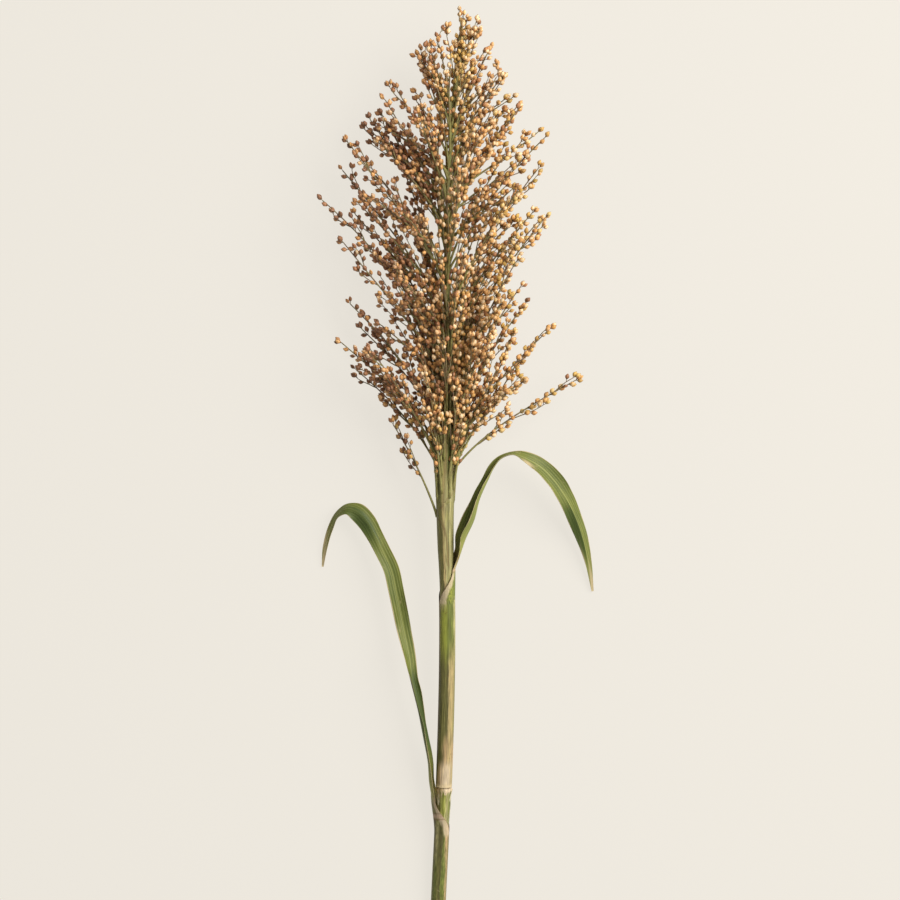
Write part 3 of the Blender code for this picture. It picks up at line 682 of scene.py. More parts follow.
def seeds_on(lines, bare, rng, spacing):
    """Where the seeds sit on the fingers: in threes at the tips, in ones to threes below.

    Returns for each seed its stalk's foot, its own foot, its direction, and its line's number.
    """
    n = len(lines)
    length = line_lengths(lines)
    slot = np.arange(CLUSTER_SLOTS)
    below = spacing * (slot + rng.uniform(-0.2, 0.2, (n, CLUSTER_SLOTS)))
    below[:, 0] = 0
    used = below < ((1 - bare) * length)[:, None]
    foot, along = sample_lines(lines, 1 - below / length[:, None])
    shape = (n, CLUSTER_SLOTS, CLUSTER_SEEDS)
    base = slot * GOLDEN_ANGLE + rng.uniform(0, math.tau, (n, 1))
    base = base + rng.uniform(-0.5, 0.5, (n, CLUSTER_SLOTS))
    turn = base[..., None] + np.array([0, 0.5, 1.05]) * math.tau * 0.5 + rng.uniform(-0.4, 0.4, shape)
    lean = rng.uniform(*SEED_LEAN, shape)
    lean[:, 0, 0] = rng.uniform(0, TIP_SEED_LEAN, n)
    stalk = rng.uniform(*SEED_STALK, shape) * MM
    keep = rng.uniform(0, 1, shape) < LOW_CLUSTER
    keep[:, 0] = rng.uniform(0, 1, (n, CLUSTER_SEEDS)) < TIP_CLUSTER
    keep &= used[..., None]
    along = np.broadcast_to(along[:, :, None], (*shape, 3))
    side = side_vectors(along, turn)
    out = between(along, side, lean)
    direction = between(along, side, lean * rng.uniform(0.35, 0.85, shape))
    foot = np.broadcast_to(foot[:, :, None], (*shape, 3))
    root = foot + out * stalk[..., None]
    number = np.broadcast_to(np.arange(n)[:, None, None], shape)
    return foot[keep], root[keep], direction[keep], number[keep]


def clear_of_floor(root, direction, size):
    """Seeds that would reach below the floor are lifted, and their tips turned up."""
    middle = root + direction * (size / 2)[:, None]
    height = above_floor(middle[:, 2])
    lowest = -(height - SEED_CLEARANCE) / (size / 2)
    turned = direction.copy()
    turned[:, 2] = np.maximum(turned[:, 2], lowest)
    turned = unit(turned)
    middle[:, 2] = height
    return middle - turned * (size / 2)[:, None], turned


def seed_tones(rng, root, branch_tint):
    """Tint and greenness of each seed, from its branch's tint, its place and a random draw.

    Seeds are paler on the right and on top, toward the key light, which is painted light; they
    are also paler near the head's tip, and greener near the rachis and the tip. They are yellow
    on the right and at the foot, and rusty, with a greenness below zero, on the left.
    """
    axis = stem_at(root[:, 1])
    sideways = np.clip((root[:, 0] - axis[:, 0]) / TINT_SIDE, -1, 1)
    rise_toward_light = np.clip((root[:, 2] - axis[:, 2]) / PAINTED_LIGHT_RAISE, -1, 0.6)
    own_tint = rng.uniform(0, 1, len(root))
    tint = BRANCH_TINT_SHARE * branch_tint + (1 - BRANCH_TINT_SHARE) * own_tint
    # Painted light: seeds on the right and on top, toward the key light, get a paler tint
    tint += 0.14 * sideways + 0.16 * rise_toward_light + 0.12 * smoothstep(200 * MM, 280 * MM, root[:, 1])
    tint = np.clip(TINT_MIDDLE + (tint - 0.5) * TINT_SPREAD, 0, 1)
    reach = np.hypot(root[:, 0] - axis[:, 0], (root[:, 2] - axis[:, 2]) / HEIGHT_SHARE)
    green = 1 - np.clip(reach / (outline_reach(root[:, 1], 0) * 0.55 + 6 * MM), 0, 1)
    green = np.clip(green + 0.3 * smoothstep(215 * MM, 290 * MM, root[:, 1]), 0, 1)
    green *= 0.45 + 0.55 * rng.uniform(0, 1, len(root))
    yellow = np.maximum(smoothstep(0.1, 1, sideways), smoothstep(90 * MM, 20 * MM, root[:, 1]))
    green = np.maximum(green, 0.9 * yellow * rng.uniform(0, 1, len(root)))
    rusty = smoothstep(0.1, -0.8, sideways) * smoothstep(20 * MM, 90 * MM, root[:, 1])
    green -= 0.9 * rusty * rng.uniform(0, 1, len(root))
    return tint, green


def head_plan():
    """All lines and seeds of the head as arrays, the same on every call."""
    sizes = bpy.context.scene.sorghum_sizes
    rng = np.random.default_rng(SEED)
    mains = main_branches(rng)
    strands = foot_strands(rng)
    bare = np.concatenate([bare_share(mains), np.full(len(strands), FOOT_STRAND_BARE)])
    inner = inner_branches(rng, sizes.inner_branches)
    mains = np.concatenate([mains, strands, inner])
    bare = np.concatenate([bare, bare_share(inner)])
    sprays = 1 + len(OUTER_BRANCHES) + len(TOP_SPRAYS)
    mains = swayed(mains, rng, BRANCH_SWAY)
    mains[sprays:] = inside_outline(mains[sprays:])
    fingers, owner = side_fingers(mains, bare, rng, sizes.finger_spacing, sizes.finger_length)
    fingers = swayed(fingers, rng, FINGER_SWAY)
    fingers[owner >= sprays] = inside_outline(fingers[owner >= sprays])
    on_mains = seeds_on(mains, bare, rng, sizes.seed_spacing)
    on_fingers = seeds_on(fingers, FINGER_BARE, rng, sizes.seed_spacing)
    foot, root, way = (np.concatenate(pair) for pair in zip(on_mains[:3], on_fingers[:3]))
    branch_tint = rng.uniform(0, 1, len(mains) + len(fingers))
    line = np.concatenate([on_mains[3], on_fingers[3] + len(mains)])
    axis = stem_at(root[:, 1])
    before = (np.abs(root[:, 0] - axis[:, 0]) < FRONT_GAP) & (root[:, 2] > axis[:, 2] + FRONT_GAP)
    keep = ~before | (rng.uniform(0, 1, len(root)) < FRONT_SHARE)
    foot, root, way, line = (a[keep] for a in (foot, root, way, line))
    size = sizes.seed_length * rng.uniform(*SEED_SIZE_RANGE, len(root))
    root, way = clear_of_floor(root, way, size)
    tint, green = seed_tones(rng, root, branch_tint[line])
    return {
        "mains": mains, "fingers": fingers, "foot": foot, "root": root, "way": way,
        "size": size, "tint": tint, "green": green, "spin": rng.uniform(0, math.tau, len(root)),
    }


def seed_frames(plan):
    """Two unit vectors across each seed, turned about its axis by its own spin."""
    across = side_vectors(plan["way"], plan["spin"])
    return across, np.cross(plan["way"], across)


# Places along a seed and its radius there, as shares of its length and half its width
SEED_PROFILE = np.array([(0.05, 0.42), (0.3, 0.96), (0.6, 0.95), (0.86, 0.42)])
SEED_SIDES = 6


def seed_arrays(plan, chosen, width):
    """Seeds as drops: rings of the profile's radius across each seed's axis, closed by fans."""
    root, way, size = plan["root"][chosen], plan["way"][chosen], plan["size"][chosen]
    across, up = (a[chosen] for a in seed_frames(plan))
    turn = np.arange(SEED_SIDES) * math.tau / SEED_SIDES
    ring = between(across[:, None, None], up[:, None, None], turn)
    radius = SEED_PROFILE[:, 1] * width / 2 * (size / size.mean())[:, None]
    lift = SEED_PROFILE[:, 0] * size[:, None]
    centre = root[:, None, None] + way[:, None, None] * lift[..., None, None]
    points = centre + ring * radius[..., None, None]
    n, k = len(root), len(SEED_PROFILE)
    ends = np.stack([root, root + way * size[:, None]], axis=1)
    points = np.concatenate([points.reshape(n, k * SEED_SIDES, 3), ends], axis=1)
    rise = np.concatenate([np.repeat(SEED_PROFILE[:, 0], SEED_SIDES), [0, 1]])
    return points.reshape(-1, 3), *closed_rings(n, k, SEED_SIDES), np.tile(rise, n)


# A husk lobe: places along the seed, the half angle that it covers there, and how far it stands off
HUSK_PROFILE = np.array([(0.07, 0.9, 1.1), (0.4, 0.8, 1.12)])
HUSK_TIP = (0.78, 1.3)
# Places across a lobe as shares of its half angle, with the radius there as a share
HUSK_ACROSS = np.array([(-1, 0.96), (-0.5, 1.06), (0.5, 1.06), (1, 0.96), (0, 0.8)])


def husk_arrays(plan, chosen, width):
    """Two lobes that clasp each seed, as closed lenses on the seed's own surface.

    A lobe's ring has points at shares of its half angle round the seed, at the seed's radius
    times the lobe's share, and the last point lies inside the seed.
    """
    root, way, size = plan["root"][chosen], plan["way"][chosen], plan["size"][chosen]
    across, up = (a[chosen] for a in seed_frames(plan))
    scale = width / 2 * (size / size.mean())
    seed_radius = np.interp(HUSK_PROFILE[:, 0], SEED_PROFILE[:, 0], SEED_PROFILE[:, 1])
    n, k, sides = len(root), len(HUSK_PROFILE), len(HUSK_ACROSS)
    all_points = []
    for half_turn in (0, math.pi):
        angle = half_turn + HUSK_PROFILE[:, 1, None] * HUSK_ACROSS[:, 0]
        radius = (seed_radius * HUSK_PROFILE[:, 2])[:, None] * HUSK_ACROSS[:, 1]
        flat = between(across[:, None, None], up[:, None, None], angle)
        lift = HUSK_PROFILE[:, 0] * size[:, None]
        points = (
            root[:, None, None]
            + way[:, None, None] * lift[..., None, None]
            + flat * (radius[None] * scale[:, None, None])[..., None]
        )
        out = math.cos(half_turn) * across
        tip_radius = np.interp(HUSK_TIP[0], SEED_PROFILE[:, 0], SEED_PROFILE[:, 1]) * HUSK_TIP[1]
        tip = root + way * (HUSK_TIP[0] * size)[:, None] + out * (tip_radius * scale)[:, None]
        ends = np.stack([root, tip], axis=1)
        all_points.append(np.concatenate([points.reshape(n, k * sides, 3), ends], axis=1))
    points = np.concatenate(all_points)
    rise = np.concatenate([np.repeat(HUSK_PROFILE[:, 0], sides), [0, HUSK_TIP[0]]])
    return points.reshape(-1, 3), *closed_rings(2 * n, k, sides), np.tile(rise, 2 * n)


# Stem and leaves

# Foot of the rachis, which starts inside the culm, and the seam that runs down from its lowest
# branch: places along Y in millimetres with the place across, from -1 on the left to 1
RACHIS_FOOT = np.array([(-33, 5.6), (-31, 6.3), (-29.5, 6.55)]) * MM
SEAM_LINE = np.array([(-76, 0.27), (-65, 0.24), (-55.6, 0.11), (-49.2, -0.07), (-43.1, -0.6), (-41, -1)])
SEAM_WIDTH = 0.6 * MM
# The brown line round the foot of the head: its climb, width and waviness, and a fainter ring
SCAR_SLOPE = 8 * MM
SCAR_WIDTH = 0.55 * MM
SCAR_WAVE = 0.8 * MM
SECOND_SCAR_Y = -8 * MM
SECOND_SCAR_WIDTH = 0.8 * MM
# The ring of the node: how far above the node's step it lies, and its width
NODE_RING_RISE = 1.3 * MM
NODE_RING_WIDTH = 0.4 * MM


def profile_at(table, y):
    """Second column of a table at places along its first, straight between its rows."""
    return np.interp(y, table[:, 0], table[:, 1])


def whorl_scar(y, side):
    """A thin brown line that climbs from the stem's left side to its right at the head's foot."""
    place = HEAD_BASE_Y + SCAR_SLOPE * side + SCAR_WAVE * np.sin(7 * side)
    return 0.8 * np.exp(-((y - place) / SCAR_WIDTH)**2) * (0.7 + 0.3 * np.sin(11 * side))


# Sides of the stem's skin, how many low lengthwise ridges it has and how deep they are, how fast
# a second set turns along it, and the caps of its lower end: shares of the radius and set-backs
STEM_SIDES = 96
CULM_RIDGES = (13, 0.022)
RACHIS_RIDGES = (9, 0.07)
RIDGE_WANDER = 30
CULM_CAPS = [(0.2, 0.25 * MM), (0.55, 0.2 * MM), (0.84, 0.12 * MM), (0.93, 0.0)]
RACHIS_CAPS = [(0.9, 0.0)]


def stem_arrays(table, y, cap_shares, ridges, depth):
    """The stem's skin: rings across its line at the table's radius, with low lengthwise ridges.

    The radius at an angle is the table's radius times one plus the ridge depth times two
    cosines of the angle. Caps are rings at the given shares of the radius, set back by depths.
    """
    radius = profile_at(table, y)
    centre = stem_at(y)
    turn = np.arange(STEM_SIDES) * math.tau / STEM_SIDES
    along = unit(np.gradient(centre, axis=0))
    across = unit(np.cross(along, (0, 0, 1.0)))
    up = np.cross(across, along)
    wander = np.cos(5 * turn + RIDGE_WANDER * y[:, None])
    ridge = 1 + depth * (0.6 * np.cos(ridges * turn) + 0.4 * wander)
    ring = between(across[:, None], up[:, None], turn)
    rings = centre[:, None] + ring * (radius[:, None] * ridge)[..., None]
    caps = [
        centre[:1, None] + (rings[:1] - centre[:1, None]) * share + along[0] * set_back
        for share, set_back in cap_shares
    ]
    points = np.concatenate([*caps, rings])
    k = len(points)
    ends = np.stack([centre[0] + along[0] * cap_shares[0][1], centre[-1]])
    return np.concatenate([points.reshape(-1, 3), ends]), *closed_rings(1, k, STEM_SIDES)


def leaf_lines(leaf, rows_in_sheath, rows_in_mouth, rows_in_blade):
    """Midrib, face direction, half width, curl radius, fold and place of each row of a leaf.

    The rows follow the solid's own rule: round the stem in the sheath, narrowing through the
    mouth, and then a smooth curve through the blade's own rows. Place runs from -2 at the
    sheath's foot to -1 at the mouth's foot, 0 at the mouth's top and 1 at the tip.
    """
    low, high = leaf["sheath"]
    radius = leaf["wraps"] + SOLID_GAP + SOLID_THICKNESS / 2 + SHEATH_PLAY
    side = math.radians(leaf["side"])
    out = np.array([math.cos(side), 0, math.sin(side)])
    y = np.concatenate([
        np.linspace(low, high, rows_in_sheath),
        np.linspace(high, leaf["mouth_y"], rows_in_mouth + 1)[1:],
    ])
    closed = math.pi * radius - SEAM_GAP / 2
    blade = leaf["blade"]
    opening = smoothstep(high, leaf["mouth_y"], y)
    stretch = 1 + leaf["mouth_flare"] * opening
    sheath = np.column_stack([
        stem_at(y) + out * radius * stretch[:, None],
        closed + (blade[0][3] * MOUTH_WIDENING * MM - closed) * opening**MOUTH_OPENING_POWER,
        radius * stretch,
        np.zeros(len(y)),
        np.tile(-out, (len(y), 1)),
    ])
    placed = np.array([
        (x * MM, along * MM, z * MM, half * MM, curl * MM, fold, *np.array(face) / np.linalg.norm(face))
        for x, along, z, half, curl, fold, face in blade
    ])
    free = smooth_path(np.vstack([sheath[-1:], placed]), rows_in_blade + 1)[1:]
    rows = np.vstack([sheath, free])
    place = np.concatenate([
        np.linspace(-2, -1, rows_in_sheath),
        np.linspace(-1, 0, rows_in_mouth + 1)[1:],
        np.linspace(0, 1, rows_in_blade + 1)[1:],
    ])
    return rows[:, :3], rows[:, 6:9], rows[:, 3], rows[:, 4], rows[:, 5], place


def leaf_arrays(leaf, rng):
    """A leaf as one thin closed sheet: two faces that meet at its margins and its ends.

    A point at distance s from the midrib lies on a circle of the row's curl radius, at the
    angle s / radius, moved by half the thickness along the face's normal. The midrib is a
    shallow trough above and a keel below, and the blade's margins wave a little.
    """
    midrib, face, half, curl, fold, place = leaf_lines(leaf, *LEAF_ROWS)
    along = unit(np.gradient(midrib, axis=0))
    across = unit(np.cross(along, face))
    face = np.cross(across, along)
    share = np.sin(np.linspace(-1, 1, LEAF_COLUMNS + 1) * math.pi / 2)
    share = 0.55 * share + 0.45 * np.linspace(-1, 1, LEAF_COLUMNS + 1)
    angle = share * (half / curl)[:, None]
    shift = curl[:, None] * np.sin(angle)
    folded_down = fold[:, None] * (np.sqrt(shift**2 + FOLD_ROUND**2) - FOLD_ROUND)
    lift = curl[:, None] * (1 - np.cos(angle)) - folded_down
    travel = np.clip(place, 0, 1)[:, None] * SOLID_BLADE_ROWS - 1
    width = half[:, None] / half[place > 0].max()
    wave = MARGIN_WAVE * share**2 * np.sin(travel * WAVE_TURN + WAVE_OFFSET * np.sign(share))
    for waves, size in MARGIN_RIPPLES:
        start = rng.uniform(0, math.tau, 2)
        phase = np.where(share < 0, start[0], start[1])
        wave = wave + size * np.abs(share)**3 * np.sin(travel * waves + phase)
    lift = lift + wave * smoothstep(1.6, 4, travel) * width
    inward_x = -np.sin(angle)
    inward_z = np.cos(angle)
    thick = LEAF_THICKNESS / 2 * (1 - 0.55 * np.abs(share)**4) * np.minimum(1, width * 3)
    blade = smoothstep(-0.6, 0.1, place)[:, None]
    rib = np.exp(-(share * half[:, None] / RIB_WIDTH)**2) * blade * np.minimum(1, width * 1.5)
    faces = []
    for sign, rib_lift in ((1, RIB_TROUGH), (-1, RIB_KEEL)):
        off = sign * thick + rib_lift * rib
        faces.append(
            midrib[:, None]
            + across[:, None] * (shift + inward_x * off)[..., None]
            + face[:, None] * (lift + inward_z * off)[..., None]
        )
    upper, under = faces[0], faces[1][:, ::-1]
    points = np.concatenate([upper, under], axis=1)
    points[..., 2] = np.maximum(points[..., 2], 0)
    rows, columns = points.shape[:2]
    quads = grid_quads(rows, columns, wrap=True)
    both = np.arange(LEAF_COLUMNS + 1)
    corner = np.arange(rows * columns).reshape(rows, columns)
    caps = []
    for row, turned in ((0, False), (rows - 1, True)):
        strip = np.stack([
            corner[row, both[:-1]], corner[row, both[1:]],
            corner[row, columns - 1 - both[1:]], corner[row, columns - 1 - both[:-1]],
        ], axis=-1)
        caps.append(strip[:, ::-1] if turned else strip)
    cross = np.concatenate([share, share[::-1]])
    sheet = np.stack(np.broadcast_arrays(
        cross * half[:, None], (place * 0.2)[:, None], np.zeros((rows, 1)) + cross * 0), axis=-1)
    values = {
        "sheet": sheet.reshape(-1, 3),
        "across": np.tile(cross, rows),
        "place": np.repeat(place, columns),
        "fold": np.repeat(fold, columns),
        "under": np.tile(np.repeat([0.0, 1.0], LEAF_COLUMNS + 1), rows),
    }
    return points.reshape(-1, 3), [np.concatenate([quads, *caps])], values


# Materials

class Nodes:
    """Short ways to add nodes to one tree and link them."""

    def __init__(self, tree):
        self.tree = tree

    def add(self, kind, inputs=None, **settings):
        node = self.tree.nodes.new(kind)
        for name, value in settings.items():
            setattr(node, name, value)
        for key, value in (inputs or {}).items():
            self.set(node.inputs[key], value)
        return node

    def set(self, socket, value):
        if isinstance(value, bpy.types.NodeSocket):
            self.tree.links.new(value, socket)
        elif socket.type == "RGBA" and len(value) == 3:
            socket.default_value = (*value, 1)
        else:
            socket.default_value = value

    def math(self, operation, *values):
        node = self.add("ShaderNodeMath", operation=operation)
        for socket, value in zip(node.inputs, values):
            self.set(socket, value)
        return node.outputs[0]

    def plus(self, a, b):
        return self.math("ADD", a, b)

    def minus(self, a, b):
        return self.math("SUBTRACT", a, b)

    def times(self, a, b):
        return self.math("MULTIPLY", a, b)

    def most(self, a, b):
        return self.math("MAXIMUM", a, b)

    def jittered(self, value, noise, size):
        """A value moved either way by a noise, with the size as its whole travel."""
        return self.plus(value, self.times(self.minus(noise, 0.5), size))

    def range(self, value, low, high, to_low=0.0, to_high=1.0, kind="SMOOTHSTEP"):
        node = self.add("ShaderNodeMapRange", interpolation_type=kind)
        for socket, given in zip(node.inputs, (value, low, high, to_low, to_high)):
            self.set(socket, given)
        return node.outputs[0]

    def mix(self, share, a, b, blend="MIX"):
        node = self.add("ShaderNodeMix", data_type="RGBA", blend_type=blend)
        for socket, value in ((node.inputs[0], share), (node.inputs[6], a), (node.inputs[7], b)):
            self.set(socket, value)
        return node.outputs[2]

    def lay(self, base, mask, share, color):
        """A colour laid over the base where the mask is, as strongly as the share."""
        return self.mix(self.times(mask, share), base, color)

    def attribute(self, name, output="Fac"):
        return self.add("ShaderNodeAttribute", attribute_name=name).outputs[output]

    def object_place(self):
        return self.add("ShaderNodeTexCoord").outputs["Object"]

    def scaled(self, vector, scale):
        return self.add("ShaderNodeMapping", {"Vector": vector, "Scale": scale}).outputs[0]

    def noise(self, vector, scale, detail=3.0, roughness=0.6):
        node = self.add("ShaderNodeTexNoise", {
            "Vector": vector, "Scale": scale, "Detail": detail, "Roughness": roughness})
        return node.outputs["Fac"]

    def ramp(self, value, stops):
        node = self.add("ShaderNodeValToRGB", {"Fac": value})
        band = node.color_ramp
        while len(band.elements) < len(stops):
            band.elements.new(0.5)
        for element, (place, color) in zip(band.elements, stops):
            element.position = place
            element.color = (*color, 1)
        return node.outputs["Color"]

    def bump(self, height, distance, strength=1.0):
        node = self.add("ShaderNodeBump", {
            "Height": height, "Distance": distance, "Strength": strength})
        return node.outputs["Normal"]


def new_group(name, inputs, outputs):
    """A shader node group with named sockets, and its inner input and output nodes."""
    group = bpy.data.node_groups.new(name, "ShaderNodeTree")
    for label, kind, default in inputs:
        socket = group.interface.new_socket(label, in_out="INPUT", socket_type=kind)
        if default is not None:
            socket.default_value = default
    for label, kind in outputs:
        group.interface.new_socket(label, in_out="OUTPUT", socket_type=kind)
    nodes = Nodes(group)
    given = nodes.add("NodeGroupInput").outputs
    result = nodes.add("NodeGroupOutput").inputs
    return group, nodes, given, result


def fibre_group():
    """Lengthwise fibres: two noises stretched along the plant, one fine and one broad."""
    name = "Plant Fibres"
    if name in bpy.data.node_groups:
        return bpy.data.node_groups[name]
    group, nodes, given, result = new_group(
        name,
        [("Vector", "NodeSocketVector", None), ("Stretch", "NodeSocketVector", (1, 0.02, 1)),
         ("Fine Scale", "NodeSocketFloat", 1250.0), ("Broad Scale", "NodeSocketFloat", 430.0)],
        [("Fine", "NodeSocketFloat"), ("Broad", "NodeSocketFloat")])
    vector = nodes.add("ShaderNodeMapping", {
        "Vector": given["Vector"], "Scale": given["Stretch"]}).outputs[0]
    fine = nodes.noise(vector, given["Fine Scale"], 2.0, 0.5)
    broad = nodes.noise(vector, given["Broad Scale"], 3.0, 0.55)
    nodes.set(result["Fine"], nodes.range(fine, 0.32, 0.68))
    nodes.set(result["Broad"], nodes.range(broad, 0.3, 0.7))
    return group


def speckle_group():
    """Small round specks: cells of a Voronoi pattern whose centre is near, where a noise allows."""
    name = "Plant Specks"
    if name in bpy.data.node_groups:
        return bpy.data.node_groups[name]
    group, nodes, given, result = new_group(
        name,
        [("Vector", "NodeSocketVector", None), ("Scale", "NodeSocketFloat", 300.0),
         ("Amount", "NodeSocketFloat", 0.4)],
        [("Mask", "NodeSocketFloat")])
    cells = nodes.add("ShaderNodeTexVoronoi", {"Vector": given["Vector"], "Scale": given["Scale"]})
    spot = nodes.range(cells.outputs["Distance"], 0.28, 0.12)
    patch = nodes.noise(given["Vector"], nodes.times(given["Scale"], 0.12), 2.0)
    least = nodes.minus(0.9, nodes.times(given["Amount"], 0.6))
    allowed = nodes.range(patch, nodes.minus(least, 0.08), nodes.plus(least, 0.02))
    nodes.set(result["Mask"], nodes.times(spot, allowed))
    return group


def speck_mask(nodes, vector, scale, amount):
    """Where specks lie, from a group with its own scale and amount."""
    specks = nodes.add("ShaderNodeGroup", {
        "Vector": vector, "Scale": scale, "Amount": amount}, node_tree=speckle_group())
    return specks.outputs["Mask"]


def new_material(name, roughness, specular):
    """A material, short ways to add to its nodes, and the inputs of its shader."""
    material = bpy.data.materials.new(name)
    material.use_nodes = True
    shader = material.node_tree.nodes["Principled BSDF"]
    shader.inputs["Roughness"].default_value = roughness
    shader.inputs["Specular IOR Level"].default_value = specular
    return material, Nodes(material.node_tree), shader.inputs


def seed_material():
    """Ripe seeds: brown, golden or peach by each seed's tint, which holds painted light that is paler on
    the right and on top, darker at foot and tip.
    """
    colors = bpy.context.scene.sorghum_colors
    material, nodes, skin = new_material("seed_skin", 0.42, 0.45)
    place = nodes.object_place()
    # The tint holds painted light: it is paler for seeds on the right and on top, toward the key light
    base = nodes.ramp(nodes.attribute("tint"), [
        (0.12, colors.seed_dark), (0.34, colors.seed_brown), (0.54, colors.seed_gold),
        (0.68, colors.seed_gold), (0.9, colors.seed_peach)])
    green = nodes.attribute("green")
    base = nodes.lay(base, nodes.range(green, 0.0, -0.6), 0.6, colors.seed_rust)
    base = nodes.lay(base, nodes.range(green, 0.35, 0.95), 0.7, colors.seed_green)
    mottle = nodes.range(nodes.noise(place, 1100.0), 0.35, 0.7)
    base = nodes.lay(base, mottle, 0.35, colors.seed_brown)
    rise = nodes.attribute("rise")
    ends = nodes.most(nodes.range(rise, 0.34, 0.04), nodes.range(rise, 0.8, 0.98))
    base = nodes.lay(base, ends, 0.75, colors.husk_brown)
    nodes.set(skin["Base Color"], base)
    nodes.set(skin["Roughness"], nodes.range(mottle, 0, 1, 0.36, 0.55))
    nodes.set(skin["Normal"], nodes.bump(nodes.noise(place, 2600.0), 0.00012, 0.5))
    return material


def husk_material():
    """Husks: brown and streaked, with paler straw patches on some."""
    colors = bpy.context.scene.sorghum_colors
    material, nodes, skin = new_material("seed_husk", 0.5, 0.4)
    place = nodes.object_place()
    # By the seed's tint, which holds painted light: husks on the right and on top, toward the key light,
    # are paler
    base = nodes.ramp(nodes.attribute("tint"), [
        (0.0, colors.husk_brown), (0.45, colors.seed_brown), (1.0, colors.seed_gold)])
    green = nodes.range(nodes.attribute("green"), 0.35, 0.95)
    base = nodes.lay(base, green, 0.75, colors.seed_green)
    streak = nodes.range(nodes.noise(place, 1700.0), 0.38, 0.66)
    base = nodes.lay(base, streak, 0.5, colors.husk_brown)
    nodes.set(skin["Base Color"], base)
    nodes.set(skin["Normal"], nodes.bump(streak, 0.0001, 0.5))
    return material


def branch_material():
    """Branches: olive near the rachis, brown and grey among the seeds, with fine streaks."""
    colors = bpy.context.scene.sorghum_colors
    material, nodes, skin = new_material("branch_bark", 0.55, 0.35)
    place = nodes.object_place()
    old = nodes.range(nodes.attribute("age"), 0.25, 0.8)
    base = nodes.mix(old, colors.branch_olive, colors.branch_brown)
    patch = nodes.range(nodes.noise(place, 260.0), 0.38, 0.66)
    base = nodes.lay(base, patch, 0.5, colors.leaf_pale)
    streak = nodes.range(nodes.noise(nodes.scaled(place, (1, 0.1, 1)), 2600.0), 0.35, 0.7)
    base = nodes.lay(base, streak, 0.5, colors.husk_brown)
    nodes.set(skin["Base Color"], base)
    nodes.set(skin["Normal"], nodes.bump(streak, 0.0001, 0.6))
    return material


# Colours from the left side of the stem to its right side, in zones from the head downwards:
# a zone's upper edge along Y, how softly it starts, and its stops
STEM_ZONES = {
    "rachis": [
        (None, 0, [(0, "stem_olive"), (0.3, "stem_olive"), (0.5, "stem_straw"), (0.7, "stem_green"),
                   (1, "stem_deep")]),
        (-8, 9, [(0, "stem_olive"), (0.26, "stem_olive"), (0.42, "stem_straw"), (0.54, "stem_pale"),
                 (0.66, "stem_olive"), (0.8, "stem_pale"), (1, "stem_olive")]),
    ],
    "culm": [
        (None, 0, [(0, "stem_olive"), (0.26, "stem_olive"), (0.42, "stem_straw"), (0.54, "stem_pale"),
                   (0.66, "stem_olive"), (0.8, "stem_pale"), (1, "stem_olive")]),
        (-230, 3, [(0, "stem_tan"), (0.3, "stem_straw"), (0.6, "collar_cream"), (1, "collar_cream")]),
        (-243, 1.5, [(0, "stem_deep"), (0.28, "stem_olive"), (0.55, "stem_bright"), (0.75, "stem_pale"),
                     (0.9, "stem_green"), (1, "stem_olive")]),
    ],
    "upper_leaf": [
        (None, 0, [(0, "stem_olive"), (0.45, "stem_green"), (0.7, "stem_bright"), (1, "stem_green")]),
        (-100, 3, [(0, "stem_olive"), (0.15, "stem_bright"), (0.4, "stem_bright"), (0.56, "stem_green"),
                   (0.86, "stem_green"), (1, "stem_pale")]),
        (-142, 13, [(0, "stem_deep"), (0.36, "stem_olive"), (0.56, "stem_deep"), (0.66, "stem_straw"),
                   (0.9, "stem_straw"), (1, "stem_olive")]),
        (-204, 6, [(0, "stem_deep"), (0.25, "stem_olive"), (0.5, "stem_tan"), (0.8, "stem_straw"),
                   (1, "stem_tan")]),
        (-221, 5, [(0, "stem_olive"), (0.16, "stem_tan"), (0.5, "collar_cream"), (0.8, "collar_cream"),
                   (1, "stem_straw")]),
    ],
    "lower_leaf": [
        (None, 0, [(0, "stem_olive"), (0.4, "stem_green"), (1, "stem_bright")]),
        (-262, 5, [(0, "stem_deep"), (0.2, "stem_pale"), (0.34, "stem_deep"), (0.55, "stem_deep"),
                   (0.7, "stem_green"), (0.86, "stem_tan"), (1, "stem_olive")]),
        (-290, 9, [(0, "stem_olive"), (0.16, "stem_green"), (0.36, "stem_olive"), (0.5, "stem_deep"),
                   (0.64, "stem_green"), (0.84, "stem_green"), (0.92, "stem_tan"), (1, "stem_olive")]),
    ],
}


def stem_tones(nodes, zones, place, fibres):
    """Colour of a stem or sheath from its zones, whose edges and stops the fibres blur."""
    colors = bpy.context.scene.sorghum_colors
    fine, broad = fibres.outputs["Fine"], fibres.outputs["Broad"]
    side = nodes.range(nodes.attribute("side"), -1, 1, kind="LINEAR")
    side = nodes.jittered(side, broad, 0.045)
    side = nodes.jittered(side, fine, 0.06)
    along = nodes.add("ShaderNodeSeparateXYZ", {"Vector": place}).outputs[1]
    along = nodes.jittered(along, broad, 6 * MM)
    tone = None
    for edge, blur, stops in zones:
        here = nodes.ramp(side, [(at, getattr(colors, key)) for at, key in stops])
        if tone is None:
            tone = here
        else:
            tone = nodes.mix(nodes.range(along, (edge + blur) * MM, (edge - blur) * MM), tone, here)
    light = nodes.mix(1.0, tone, (1.6, 1.6, 1.4), "MULTIPLY")
    tone = nodes.lay(tone, nodes.range(fine, 0.55, 1), 0.5, light)
    dark = nodes.mix(1.0, tone, (0.5, 0.5, 0.45), "MULTIPLY")
    tone = nodes.lay(tone, nodes.range(fine, 0.4, 0.05), 0.6, dark)
    return nodes.lay(tone, nodes.range(broad, 0.4, 0), 0.35, colors.stem_deep)


